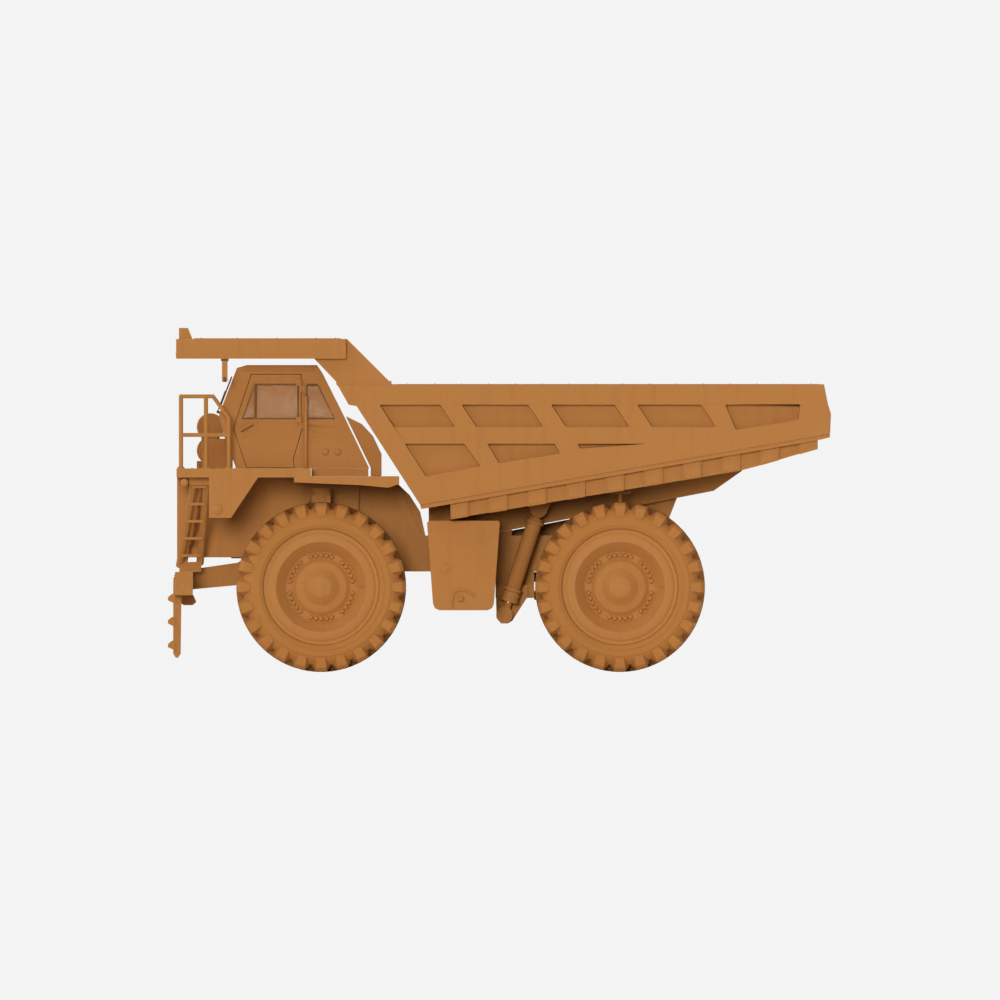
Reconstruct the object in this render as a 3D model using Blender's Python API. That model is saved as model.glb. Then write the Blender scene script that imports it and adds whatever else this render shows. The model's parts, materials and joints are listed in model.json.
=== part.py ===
"""Builds a rigid mining dump truck as separate named solids, in metres, with +Z up.

The truck faces -X and its cab stands on the -Y side. Z 0 is the ground and X 0 is the middle of its length.
"""

from math import cos, pi, radians, sin
from typing import NamedTuple

import bmesh
import bpy
from mathutils import Matrix, Vector

SEAT_GAP = 0.0003  # between two pieces that rest on each other
PIVOT_GAP = 0.005  # between a hole and the pin that turns in it
SLIDE_GAP = 0.0005  # between a telescoping tube and the one inside it
SHUT_GAP = 0.010  # round the cab door
ROUND_SIDES = 32
TUBE_SIDES = 8

# Wheels and axles
FRONT_AXLE_X = -2.72
REAR_AXLE_X = 1.84
TYRE_RADIUS = 1.296
TYRE_WIDTH = 0.76
DUAL_TYRE_WIDTH = 0.75
FRONT_TYRE_INNER_Y = 1.705
DUAL_INNER_TYRE_Y = 0.965
DUAL_OUTER_TYRE_Y = 1.86
RIM_SEAT_RADIUS = 0.80
RIM_FLANGE_RADIUS = 0.88
RIM_FLANGE_THICKNESS = 0.04
RIM_WALL = 0.04
FLANGE_INSET = 0.035  # from a tyre's sidewall to its rim's flange
DISH_DEPTH = 0.12
KINGPIN_Y = 1.40
STEER_ARM = 0.55
STRUT_RADIUS = 0.16
STRUT_BOTTOM_Z = 1.75
STRUT_TOP_Z = 2.80
SPINDLE_RADIUS = 0.235
HUB_SHOULDER_Y = 1.90
TIE_ROD_Z = 1.12
TIE_ROD_RADIUS = 0.05

AXLE_END_Y = 2.20
AXLE_NOSE = 0.62
DRIVE_LINE_Z = 1.45

# Frame
RAIL_INNER_Y = 0.60
RAIL_OUTER_Y = 0.85
RAIL_TOP_Z = 2.084
RAIL_BOTTOM_Z = 1.534
RAIL_FRONT_X = -4.679
TAIL_TOP_Z = 2.448
HOIST_BEAM_X = (-0.06, 0.53)
HOIST_BEAM_Z = (1.13, 1.33)
GUIDE_CLEARANCE = 0.012
BED_PIVOT = (2.40, 2.30)
PIVOT_PIN_RADIUS = 0.08
BUMPER_X = (-4.952, -4.679)
BUMPER_Z = (1.172, 1.528)
BUMPER_HALF_WIDTH = 2.30
LADDER_X = (-4.979, -4.864)
LADDER_Z = (0.218, 1.172)
LADDER_STEP_FRONT_X = -5.059
LADDER_Y = (1.45, 1.90)

# Engine bay, decks and cab
HOOD_X = (-4.76, -2.15)
HOOD_HALF_WIDTH = 0.95
HOOD_BOTTOM_Z = 1.75
HOOD_WALL = 0.04
GUARD_FRONT_X = -4.92
GUARD_HALF_WIDTH = 1.05
DECK_BOTTOM_Z = 2.970
DECK_TOP_Z = 3.107
DECK_FRONT_X = -4.929
DECK_SPLIT_X = -2.877
REAR_DECK_TOP_Z = 2.988
REAR_DECK_X = -1.53
DECK_HALF_WIDTH = 2.70
CAB_LEFT_Y = -2.20
CAB_UPPER_Y = -2.14
CAB_RIGHT_Y = -0.60
CAB_WALL = 0.05
CAB_FLOOR_Z = DECK_TOP_Z + SEAT_GAP
GLASS = 0.010
GLASS_LAP = 0.020
DOOR_HINGE_X = -3.035

# Load body
BODY_HALF_WIDTH = 2.76
BODY_SIDE_DEPTH = 0.20
RECESS_DEPTH = 0.15
BODY_TOP_Z = 4.392
BODY_FRONT_FOOT = (-1.213, 2.556)
FLOOR_SLOPE = 0.1731
FLOOR_PLATE = 0.07
BOLSTER_COUNT = 10
BOLSTER_WIDTH = 0.279
BOLSTER_PITCH = 0.592
BOLSTER_START_X = -0.749
BEAM_UNDERSIDE = ((-0.012, 2.133), (2.637, 2.645))
CANOPY_HALF_WIDTH = 2.90
CANOPY_TOP_Z = 5.083
CANOPY_FRONT_X = -4.935
CANOPY_BOTTOM_Z = 4.781
CANOPY_PLATE = 0.05

# Hoists
HOIST_Y = 1.25
HOIST_LOWER = (0.076, 0.871)
HOIST_UPPER = (0.60, 2.48)
HOIST_BARREL_RADIUS = 0.118
HOIST_STAGE_RADIUS = 0.085
HOIST_ROD_RADIUS = 0.058
HOIST_BARREL_END = 0.21  # from the lower eye's centre to the barrel's mouth
EYE_RADIUS = 0.125
EYE_WIDTH = 0.14
HOIST_COLLAR = 0.022
LUG_CLEARANCE = 0.015  # between the frame's lug and the barrel's collar beside it
LOWER_EYE_INNER_Y = HOIST_Y - HOIST_BARREL_RADIUS - HOIST_COLLAR - LUG_CLEARANCE
UPPER_PIN_RADIUS = 0.055


class Finish(NamedTuple):
    """A paint or material: its linear colour, roughness and metallic value."""

    colour: tuple[float, float, float]
    roughness: float
    metallic: float


PAINT = Finish((0.386, 0.156, 0.036), 0.55, 0.0)
DARK_PAINT = Finish((0.19, 0.076, 0.020), 0.60, 0.0)
RUBBER = Finish((0.29, 0.120, 0.031), 0.85, 0.0)
STEEL = Finish((0.42, 0.19, 0.06), 0.30, 0.9)
TINTED_GLASS = Finish((0.20, 0.085, 0.024), 0.12, 0.0)
CUSHION = Finish((0.16, 0.070, 0.022), 0.90, 0.0)


def clear_scene():
    for item in list(bpy.data.objects):
        bpy.data.objects.remove(item)


def material_of(name, finish):
    """The material called name, made the first time it is asked for."""
    found = bpy.data.materials.get(name)
    if found:
        return found
    made = bpy.data.materials.new(name)
    made.use_nodes = True
    shader = made.node_tree.nodes["Principled BSDF"]
    shader.inputs["Base Color"].default_value = (*finish.colour, 1.0)
    shader.inputs["Roughness"].default_value = finish.roughness
    shader.inputs["Metallic"].default_value = finish.metallic
    return made


# Shapes: closed meshes in world metres


def mesh_of(solid):
    """A mesh from a bmesh that encloses one volume, with its faces outwards."""
    bmesh.ops.recalc_face_normals(solid, faces=solid.faces)
    mesh = bpy.data.meshes.new("shape")
    solid.to_mesh(mesh)
    solid.free()
    return mesh


def prism(points, move):
    """The outline through the given 3-D points, extruded by the vector move."""
    solid = bmesh.new()
    outline = solid.faces.new([solid.verts.new(point) for point in points])
    grown = bmesh.ops.extrude_face_region(solid, geom=[outline], use_keep_orig=True)
    moved = [part for part in grown["geom"] if isinstance(part, bmesh.types.BMVert)]
    bmesh.ops.translate(solid, verts=moved, vec=move)
    return mesh_of(solid)


def side_prism(outline, y_low, y_high):
    """An (x, z) outline extruded between two y planes."""
    return prism([(x, y_low, z) for x, z in outline], (0, y_high - y_low, 0))


def front_prism(outline, x_low, x_high):
    """A (y, z) outline extruded between two x planes."""
    return prism([(x_low, y, z) for y, z in outline], (x_high - x_low, 0, 0))


def plan_prism(outline, z_low, z_high):
    """An (x, y) outline extruded between two z planes."""
    return prism([(x, y, z_low) for x, y in outline], (0, 0, z_high - z_low))


def box(x_range, y_range, z_range):
    (x0, x1), (y0, y1) = sorted(x_range), sorted(y_range)
    return plan_prism([(x0, y0), (x1, y0), (x1, y1), (x0, y1)], *sorted(z_range))


def rod(start, end, radius, sides=TUBE_SIDES):
    """A cylinder between two points; radius is to the middle of its flats."""
    start, end = Vector(start), Vector(end)
    along = end - start
    solid = bmesh.new()
    reach = radius / cos(pi / sides)
    bmesh.ops.create_cone(
        solid, cap_ends=True, segments=sides, radius1=reach, radius2=reach, depth=along.length
    )
    turn = along.to_track_quat("Z", "Y").to_matrix().to_4x4()
    centre = Matrix.Translation((start + end) / 2)
    flats_down = Matrix.Rotation(pi / sides, 4, "Z")
    bmesh.ops.transform(solid, matrix=centre @ turn @ flats_down, verts=solid.verts)
    return mesh_of(solid)


def turned(profile, centre_xz, side=1, sides=ROUND_SIDES):
    """A profile of (radius, y) points turned about the line along Y through centre_xz.

    Radii are to the middle of the flats, one of which faces down. A negative side mirrors it to -Y. A profile
    that ends on the axis closes there in a point.
    """
    centre_x, centre_z = centre_xz
    reach = 1 / cos(pi / sides)
    solid = bmesh.new()
    rings = []
    for radius, y in profile:
        turns = [pi / 2 + (2 * step + 1) * pi / sides for step in range(sides)]
        if radius == 0:
            rings.append([solid.verts.new((centre_x, side * y, centre_z))] * sides)
            continue
        rings.append(
            [
                solid.verts.new(
                    (centre_x + radius * reach * cos(turn), side * y, centre_z + radius * reach * sin(turn))
                )
                for turn in turns
            ]
        )
    pairs = list(zip(rings, rings[1:]))
    if profile[0][0] != 0:
        pairs.append((rings[-1], rings[0]))
    for ring, following in pairs:
        for step in range(sides):
            after = (step + 1) % sides
            corners = [ring[step], ring[after], following[after], following[step]]
            solid.faces.new(list(dict.fromkeys(corners)))
    return mesh_of(solid)


def tube_path(points, radius, sides=TUBE_SIDES):
    """The rods along a path of points, to be joined, with each run carried a little past its corner."""
    shapes = []
    for start, end in zip(points, points[1:]):
        start, end = Vector(start), Vector(end)
        past = (end - start).normalized() * radius * 0.6
        shapes.append(rod(start - past, end + past, radius, sides))
    return shapes


def combined(first, shapes, operation):
    """The mesh of first after a Boolean with each of the shapes in turn."""
    base = bpy.data.objects.new("base", first)
    bpy.context.scene.collection.objects.link(base)
    helpers = []
    for shape in shapes:
        helper = bpy.data.objects.new("helper", shape)
        helper.hide_render = True
        helper.display_type = "WIRE"
        bpy.context.scene.collection.objects.link(helper)
        helpers.append(helper)
        change = base.modifiers.new("change", "BOOLEAN")
        change.operation = operation
        change.solver = "EXACT"
        change.object = helper
    mesh = bpy.data.meshes.new_from_object(base.evaluated_get(bpy.context.evaluated_depsgraph_get()))
    for item in [base, *helpers]:
        bpy.data.objects.remove(item)
    return mesh


def joined(*shapes):
    return combined(shapes[0], shapes[1:], "UNION")


def cut(first, *shapes):
    return combined(first, shapes, "DIFFERENCE")


def common(first, *shapes):
    return combined(first, shapes, "INTERSECT")


def offset(outline, distance):
    """A closed outline moved inwards by distance, with the corners mitred; a negative distance grows it."""
    area = sum(a[0] * b[1] - b[0] * a[1] for a, b in zip(outline, outline[1:] + outline[:1]))
    points = [Vector(point) for point in (outline if area > 0 else outline[::-1])]
    moved = []
    for before, here, after in zip(points[-1:] + points[:-1], points, points[1:] + points[:1]):
        arriving = (here - before).normalized()
        leaving = (after - here).normalized()
        normal_in = Vector((-arriving.y, arriving.x))
        normal_out = Vector((-leaving.y, leaving.x))
        middle = (normal_in + normal_out).normalized()
        moved.append(tuple(here + middle * distance / middle.dot(normal_in)))
    return moved


# Bodies and nodes


def empty_at(name, place, parent=None):
    """An empty at a world place, on a joint's axis, that carries the pieces of one moving body."""
    carrier = bpy.data.objects.new(name, None)
    bpy.context.scene.collection.objects.link(carrier)
    carrier.parent = parent
    carrier.location = Vector(place) - (world_place(parent) if parent else Vector())
    carrier["place"] = tuple(place)
    return carrier


def world_place(carrier):
    return Vector(carrier["place"])


def node(name, mesh, material_name, finish, carrier=None):
    """One named solid of the truck, carried by a body's empty if it moves."""
    mesh.name = name
    mesh.materials.clear()
    mesh.materials.append(material_of(material_name, finish))
    mesh.shade_smooth()
    mesh.set_sharp_from_angle(angle=radians(32))
    made = bpy.data.objects.new(name, mesh)
    bpy.context.scene.collection.objects.link(made)
    if carrier:
        made.parent = carrier
        made.location = -world_place(carrier)
    return made


# Frame and what is fixed to it


def both_sides(y_low, y_high):
    """A y range on the left and its mirror image on the right."""
    return [(-y_high, -y_low), (y_low, y_high)]


def build_frame():
    tail_x, tail_z = BED_PIVOT
    rail = [
        (RAIL_FRONT_X + SEAT_GAP, 1.570),
        (-3.998, 1.669),
        (-3.30, RAIL_TOP_Z),
        (2.05, RAIL_TOP_Z),
        (2.22, TAIL_TOP_Z - 0.03),
        (2.493, TAIL_TOP_Z),
        (tail_x + 0.22, tail_z - 0.05),
        (2.56, 1.75),
        (2.35, RAIL_BOTTOM_Z),
        (-3.45, RAIL_BOTTOM_Z),
        (-4.026, 1.323),
        (RAIL_FRONT_X + SEAT_GAP, 1.262),
    ]
    rails = [side_prism(rail, *span) for span in both_sides(RAIL_INNER_Y, RAIL_OUTER_Y)]
    inner = RAIL_INNER_Y + 0.05
    cross_members = [
        # x range, z range
        ((-4.60, -4.30), (1.36, 1.52)),
        ((-1.95, -1.65), (1.60, 2.02)),
        ((0.05, 0.40), (1.60, 2.02)),
        ((1.70, 1.98), (1.95, 2.07)),
    ]
    crosses = [box(x, (-inner, inner), z) for x, z in cross_members]
    pin = rod((tail_x, -inner, tail_z), (tail_x, inner, tail_z), PIVOT_PIN_RADIUS, 24)
    return rails[0], [rails[1], *crosses, pin, body_guide(), *frame_towers(), *hoist_beam()]


def body_guide():
    """The upright plate on the frame's middle line that guides the load body down between its main beams."""
    front, rear = HOIST_BEAM_X[1] - 0.34, BED_PIVOT[0] - 0.45
    outline = [
        (front, 2.00),
        (front, beam_under_z(front) - GUIDE_CLEARANCE),
        (rear, beam_under_z(rear) - GUIDE_CLEARANCE),
        (rear, 2.02),
        (1.72, 2.02),
        (1.60, RAIL_TOP_Z - 0.008),
        (0.50, RAIL_TOP_Z - 0.008),
        (0.38, 2.00),
    ]
    return side_prism(outline, -0.04, 0.04)


def frame_towers():
    """The beam and towers that hold the front struts, over the front axle."""
    reach = KINGPIN_Y + STRUT_RADIUS
    half = STRUT_RADIUS + 0.03
    shapes = []
    for side in (-1, 1):
        stub = sorted((side * (RAIL_INNER_Y + 0.02), side * (reach - 0.06)))
        shapes.append(box((FRONT_AXLE_X - 0.17, FRONT_AXLE_X + 0.17), stub, (1.80, 2.06)))
        tower = [
            (side * 0.80, 1.70),
            (side * (reach - 0.02), 1.70 + 0.20),
            (side * (reach - 0.02), STRUT_TOP_Z - 0.10),
            (side * 1.20, STRUT_TOP_Z - 0.10),
            (side * 0.80, RAIL_TOP_Z + 0.10),
        ]
        shapes.append(front_prism(tower, FRONT_AXLE_X - half + 0.05, FRONT_AXLE_X + half - 0.05))
        shapes.append(
            rod(
                (FRONT_AXLE_X, side * KINGPIN_Y, STRUT_BOTTOM_Z),
                (FRONT_AXLE_X, side * KINGPIN_Y, STRUT_TOP_Z),
                STRUT_RADIUS,
                24,
            )
        )
    return shapes


def hoist_beam():
    """The low cross beam with a lug on each side, beside the hoists' lower eyes."""
    lug_outer = LOWER_EYE_INNER_Y - SEAT_GAP
    lug_inner = lug_outer - 0.12
    low_x, low_z = HOIST_LOWER
    beam = box(HOIST_BEAM_X, (-lug_outer + 0.05, lug_outer - 0.05), HOIST_BEAM_Z)
    shapes = [beam]
    for y_range in both_sides(RAIL_INNER_Y + 0.02, RAIL_OUTER_Y - 0.02):
        shapes.append(box(HOIST_BEAM_X, y_range, (HOIST_BEAM_Z[1] - 0.05, RAIL_BOTTOM_Z + 0.05)))
    lug = [
        (HOIST_BEAM_X[0], HOIST_BEAM_Z[1] - 0.02),
        (HOIST_BEAM_X[1] - 0.1, HOIST_BEAM_Z[1] - 0.02),
        (HOIST_BEAM_X[1] - 0.1, HOIST_BEAM_Z[0] + 0.02),
        (low_x + 0.12, low_z - 0.09),
        (low_x + 0.05, low_z - 0.13),
        (low_x - 0.05, low_z - 0.13),
        (low_x - 0.12, low_z - 0.05),
    ]
    shapes += [side_prism(lug, *span) for span in both_sides(lug_inner, lug_outer)]
    return shapes


def build_bumper():
    bar = box(BUMPER_X, (-BUMPER_HALF_WIDTH, BUMPER_HALF_WIDTH), BUMPER_Z)
    shapes = []
    hook_plate = [(-4.876, 1.19), (-4.876, 1.06), (-4.82, 1.02), (-4.68, 1.02), (-4.625, 1.07), (-4.68, 1.19)]
    for side in (-1, 1):
        hook = side_prism(hook_plate, *sorted((side * 0.66, side * 0.76)))
        shapes.append(hook)
        shapes += step_ladder(side)
    return bar, shapes


def step_ladder(side):
    """The two hangers and three steps below one end of the bumper."""
    hanger_width = 0.05
    inner, outer = LADDER_Y
    hanger = [
        (BUMPER_X[0] + 0.01, BUMPER_Z[1] - 0.10),
        (BUMPER_X[0] + 0.10, BUMPER_Z[0] + 0.05),
        (LADDER_X[1], LADDER_Z[0] + 0.06),
        (LADDER_X[1] - 0.04, LADDER_Z[0]),
        (LADDER_X[0] + 0.04, LADDER_Z[0]),
        (LADDER_X[0], LADDER_Z[0] + 0.06),
        (LADDER_X[0], BUMPER_Z[1] - 0.14),
    ]
    shapes = []
    for start in (inner, outer - hanger_width):
        shapes.append(side_prism(hanger, *sorted((side * start, side * (start + hanger_width)))))
    step_heights = [
        # bottom, top
        (1.042, 1.192),
        (0.682, 0.841),
        (0.328, 0.478),
    ]
    for bottom, top in step_heights:
        step = [
            (LADDER_STEP_FRONT_X, top - 0.05),
            (LADDER_STEP_FRONT_X, top - 0.10),
            (LADDER_X[0] + 0.03, bottom),
            (LADDER_X[0] + 0.03, top),
            (LADDER_X[0] - 0.02, top),
        ]
        shapes.append(side_prism(step, *sorted((side * (inner - 0.02), side * (outer + 0.02)))))
    return shapes


def build_hood():
    """The engine bay's cover: open below and standing on the rails, with louvre bays in its sides."""
    front, rear = HOOD_X
    top = DECK_BOTTOM_Z - SEAT_GAP
    wall = HOOD_WALL
    cover = box((front, rear), (-HOOD_HALF_WIDTH, HOOD_HALF_WIDTH), (HOOD_BOTTOM_Z, top))
    inside = box(
        (front + wall, rear - wall),
        (-HOOD_HALF_WIDTH + wall, HOOD_HALF_WIDTH - wall),
        (HOOD_BOTTOM_Z - 0.1, top - wall),
    )
    over_rails = box(
        (front - 0.1, rear + 0.1),
        (-HOOD_HALF_WIDTH + wall, HOOD_HALF_WIDTH - wall),
        (HOOD_BOTTOM_Z - 0.1, RAIL_TOP_Z + SEAT_GAP),
    )
    clear = 0.02
    tower_gap = box(
        (FRONT_AXLE_X - STRUT_RADIUS - clear, FRONT_AXLE_X + STRUT_RADIUS + clear),
        (-HOOD_HALF_WIDTH - 0.1, HOOD_HALF_WIDTH + 0.1),
        (HOOD_BOTTOM_Z - 0.1, STRUT_TOP_Z - 0.10 + clear),
    )
    return cut(cover, inside, over_rails, tower_gap)


def build_guard():
    """The radiator's surround and its grille bars, in front of the hood."""
    back = HOOD_X[0] - SEAT_GAP
    top = DECK_BOTTOM_Z - SEAT_GAP
    frame = box((GUARD_FRONT_X, back), (-GUARD_HALF_WIDTH, GUARD_HALF_WIDTH), (1.74, top))
    margin = 0.12
    opening = box(
        (GUARD_FRONT_X - 0.1, back - 0.05),
        (-GUARD_HALF_WIDTH + margin, GUARD_HALF_WIDTH - margin),
        (1.74 + margin, top - margin),
    )
    core = cut(frame, opening)
    bar_count = 8
    height = top - 1.74 - 2 * margin
    bars = []
    for index in range(bar_count):
        z = 1.74 + margin + (index + 0.5) * height / bar_count
        y_range = (-GUARD_HALF_WIDTH + margin - 0.02, GUARD_HALF_WIDTH - margin + 0.02)
        bars.append(box((GUARD_FRONT_X + 0.015, GUARD_FRONT_X + 0.07), y_range, (z - 0.02, z + 0.02)))
    return joined(core, *bars)


def build_engine():
    block = box((-4.10, -2.40), (-0.52, 0.52), (RAIL_TOP_Z - 0.35, 2.70))
    feet = box((-3.20, -3.00), (-RAIL_INNER_Y - 0.1, RAIL_INNER_Y + 0.1), (RAIL_TOP_Z + SEAT_GAP, 2.25))
    return joined(block, feet)


def build_transmission():
    """The gearbox under the cab, hung between the rails."""
    case = box((-1.55, -0.95), (-0.42, 0.42), (1.54, 1.98))
    output = box((-1.00, -0.55), (-0.42, 0.42), (DRIVE_LINE_Z - 0.10, 1.98))
    hanger = box((-1.20, -0.90), (-RAIL_INNER_Y + SEAT_GAP, RAIL_INNER_Y - SEAT_GAP), (1.65, 1.80))
    return joined(case, output, hanger)


def build_drive_shaft():
    start = (-0.55 + SEAT_GAP, 0, DRIVE_LINE_Z)
    end = (REAR_AXLE_X - AXLE_NOSE - SEAT_GAP, 0, DRIVE_LINE_Z)
    return rod(start, end, 0.075, 16)


def build_platform(side):
    """One half of the deck: the raised front slab, the rear slab, its fender panel and its rear leg."""
    inner, outer = 0.0015, DECK_HALF_WIDTH
    span = sorted((side * inner, side * outer))
    front = box((DECK_FRONT_X, DECK_SPLIT_X), span, (DECK_BOTTOM_Z, DECK_TOP_Z))
    rear_outline = [
        (DECK_SPLIT_X - 0.26, 2.893),
        (DECK_SPLIT_X - 0.26, REAR_DECK_TOP_Z),
        (REAR_DECK_X, REAR_DECK_TOP_Z),
        (REAR_DECK_X, REAR_DECK_TOP_Z - 0.12),
        (-1.70, 2.812),
        (-2.10, 2.850),
    ]
    rear = side_prism(rear_outline, *sorted((side * (HOOD_HALF_WIDTH + 0.03), side * outer)))
    bridge = side_prism(
        [
            (-2.90, DECK_BOTTOM_Z),
            (HOOD_X[1] + 0.02, DECK_BOTTOM_Z),
            (REAR_DECK_X, REAR_DECK_TOP_Z - 0.10),
            (REAR_DECK_X, REAR_DECK_TOP_Z),
            (-2.90, REAR_DECK_TOP_Z),
        ],
        *sorted((side * inner, side * (HOOD_HALF_WIDTH + 0.10))),
    )
    fender = side_prism(
        [(-4.433, DECK_BOTTOM_Z + 0.02), (-4.433, 2.351), (-4.097, 2.351), (-3.670, DECK_BOTTOM_Z + 0.02)],
        *sorted((side * (outer - 0.06), side * outer)),
    )
    fender_shelf = box((-4.433, -4.38), sorted((side * (outer - 0.15), side * outer)), (2.351, 3.0))
    return front, [rear, bridge, fender, fender_shelf, *platform_leg(side)]


def platform_leg(side):
    """The sloped leg from the rear deck down to the top of the frame rail, and the web plate behind it."""
    foot = RAIL_TOP_Z + SEAT_GAP
    leg = [(-1.735, 2.93), (-1.295, foot), (-1.182, foot), (-1.567, 2.93)]
    web = [
        (HOOD_X[1] + SEAT_GAP, foot),
        (HOOD_X[1] + SEAT_GAP, 2.96),
        (-1.60, 2.92),
        (-1.37, 2.70),
        (-1.21, 2.445),
        (-1.13, foot),
    ]
    outer = RAIL_OUTER_Y - 0.01
    return [
        side_prism(leg, *sorted((side * (RAIL_INNER_Y + 0.02), side * outer))),
        side_prism(web, *sorted((side * (outer - 0.08), side * (outer - 0.04)))),
    ]


def build_handrail(side):
    """The rail along one edge of the deck and across its front."""
    y = side * (DECK_HALF_WIDTH - 0.06)
    inner_y = side * 1.15
    foot = DECK_TOP_Z + SEAT_GAP
    radius = 0.03
    front_x, middle_x, rear_x = -4.860, -4.479, -4.129
    top, middle, rear_top = 4.206, 3.618, 3.878
    shapes = tube_path([(front_x, y, top), (-4.372, y, top), (rear_x, y, rear_top)], radius)
    shapes += tube_path([(front_x, y, middle), (rear_x, y, middle)], radius)
    across = radius + 0.001
    shapes += tube_path([(front_x, y, top), (front_x, inner_y, top)], across, 12)
    shapes += tube_path([(front_x, y, middle), (front_x, inner_y, middle)], across, 12)
    posts = [
        # x, y, top
        (front_x, y, top),
        (middle_x, y, top),
        (rear_x, y, rear_top),
        (front_x, side * 1.90, top),
        (front_x, inner_y, top),
    ]
    for x, post_y, post_top in posts:
        shapes.append(rod((x, post_y, foot), (x, post_y, post_top + 0.01), radius + 0.002, 14))
    return shapes[0], shapes[1:]


def build_stair(side):
    """The stair that climbs outwards from the bumper to the deck, with its handrail tube."""
    runs = [
        # lower x, lower y, lower z, upper x, upper y, upper z, radius
        (-4.880, 1.20, 1.62, -4.660, 2.30, 2.93, 0.055),
        (-4.570, 1.20, 1.66, -4.460, 2.30, 2.93, 0.055),
        (-4.720, 1.12, 1.95, -4.520, 2.16, 2.93, 0.030),
    ]
    shapes = []
    for x0, y0, z0, x1, y1, z1, radius in runs:
        shapes.append(rod((x0, side * y0, z0), (x1, side * y1, z1), radius))
    step_count = 5
    for index in range(step_count):
        part = (index + 0.6) / step_count
        y = 1.20 + 1.10 * part
        z = 1.62 + 1.31 * part
        front_x = -4.880 + 0.220 * part
        rear_x = -4.570 + 0.110 * part
        shapes.append(box((front_x, rear_x), (side * (y - 0.10), side * (y + 0.10)), (z - 0.02, z + 0.02)))
    shapes.append(rod((-4.80, side * 1.20, 1.62), (-4.74, side * 1.13, 1.98), 0.03))
    shapes.append(box((-4.885, -4.55), (side * 1.12, side * 1.28), (BUMPER_Z[1] + SEAT_GAP, 1.68)))
    shapes.append(box((-4.74, -4.42), (side * 2.24, side * 2.38), (2.85, DECK_BOTTOM_Z - SEAT_GAP)))
    return shapes[-2], shapes[:-2] + [shapes[-1]]


# Wheels, axles and steering


def tyre_profile(inner_y, width):
    """A tyre's section, clear of its rim by the seat gap, from its inner sidewall to its outer one."""
    outer_y = inner_y + width
    bead_in = inner_y + FLANGE_INSET + RIM_FLANGE_THICKNESS + SEAT_GAP
    bead_out = outer_y - FLANGE_INSET - RIM_FLANGE_THICKNESS - SEAT_GAP
    seat = RIM_SEAT_RADIUS + SEAT_GAP
    flange = RIM_FLANGE_RADIUS + SEAT_GAP
    shoulder = TYRE_RADIUS - 0.05
    return [
        (seat, bead_in),
        (flange, bead_in),
        (flange, inner_y + 0.03),
        (flange + 0.10, inner_y),
        (TYRE_RADIUS - 0.16, inner_y),
        (shoulder, inner_y + 0.04),
        (TYRE_RADIUS, inner_y + 0.09),
        (TYRE_RADIUS, outer_y - 0.09),
        (shoulder, outer_y - 0.04),
        (TYRE_RADIUS - 0.16, outer_y),
        (flange + 0.10, outer_y),
        (flange, outer_y - 0.03),
        (flange, bead_out),
        (seat, bead_out),
    ]


def flange_steps(y, direction):
    """The rim's outer profile across one flange, in the direction of travel along Y."""
    far = y + direction * RIM_FLANGE_THICKNESS
    return [(RIM_FLANGE_RADIUS, y), (RIM_FLANGE_RADIUS, far), (RIM_SEAT_RADIUS, far)]


def dish(outer_y):
    """The rim's outside face, from the middle of its cap to the flange: cap, hub disc, bolt ring and cone."""
    ring_y = outer_y - DISH_DEPTH - 0.12
    return [
        (0, ring_y + 0.17),
        (0.16, ring_y + 0.17),
        (0.26, ring_y + 0.06),
        (0.38, ring_y + 0.06),
        (0.38, ring_y),
        (0.55, ring_y),
        (0.68, outer_y),
    ]


def front_rim(side):
    inner_y = FRONT_TYRE_INNER_Y + FLANGE_INSET
    outer_y = FRONT_TYRE_INNER_Y + TYRE_WIDTH - FLANGE_INSET
    ring_y = outer_y - DISH_DEPTH - 0.12
    barrel = RIM_SEAT_RADIUS - RIM_WALL
    bore = SPINDLE_RADIUS + PIVOT_GAP
    profile = [
        *dish(outer_y),
        *flange_steps(outer_y, -1),
        (RIM_SEAT_RADIUS, inner_y + RIM_FLANGE_THICKNESS),
        (RIM_FLANGE_RADIUS, inner_y + RIM_FLANGE_THICKNESS),
        (RIM_FLANGE_RADIUS, inner_y),
        (barrel, inner_y),
        (barrel, ring_y - 0.02),
        (0.60, ring_y - 0.09),
        (0.45, ring_y - 0.09),
        (0.45, HUB_SHOULDER_Y),
        (bore, HUB_SHOULDER_Y),
        (bore, ring_y - 0.06),
        (0, ring_y - 0.06),
    ]
    return turned(profile, (FRONT_AXLE_X, TYRE_RADIUS), side)


def rear_rim(side):
    """The rim of a pair of tyres, open inside for the axle's end."""
    inner_low = DUAL_INNER_TYRE_Y + FLANGE_INSET
    inner_high = DUAL_INNER_TYRE_Y + DUAL_TYRE_WIDTH - FLANGE_INSET
    outer_low = DUAL_OUTER_TYRE_Y + FLANGE_INSET
    outer_high = DUAL_OUTER_TYRE_Y + DUAL_TYRE_WIDTH - FLANGE_INSET
    barrel = RIM_SEAT_RADIUS - RIM_WALL
    thick = RIM_FLANGE_THICKNESS
    profile = [
        *dish(outer_high),
        *flange_steps(outer_high, -1),
        (RIM_SEAT_RADIUS, outer_low + thick),
        (RIM_FLANGE_RADIUS, outer_low + thick),
        (RIM_FLANGE_RADIUS, outer_low),
        (RIM_SEAT_RADIUS, outer_low),
        (RIM_SEAT_RADIUS, inner_high),
        (RIM_FLANGE_RADIUS, inner_high),
        (RIM_FLANGE_RADIUS, inner_high - thick),
        (RIM_SEAT_RADIUS, inner_high - thick),
        (RIM_SEAT_RADIUS, inner_low + thick),
        (RIM_FLANGE_RADIUS, inner_low + thick),
        (RIM_FLANGE_RADIUS, inner_low),
        (barrel, inner_low),
        (barrel, AXLE_END_Y + SEAT_GAP),
        (0, AXLE_END_Y + SEAT_GAP),
    ]
    return turned(profile, (REAR_AXLE_X, TYRE_RADIUS), side)


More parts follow.
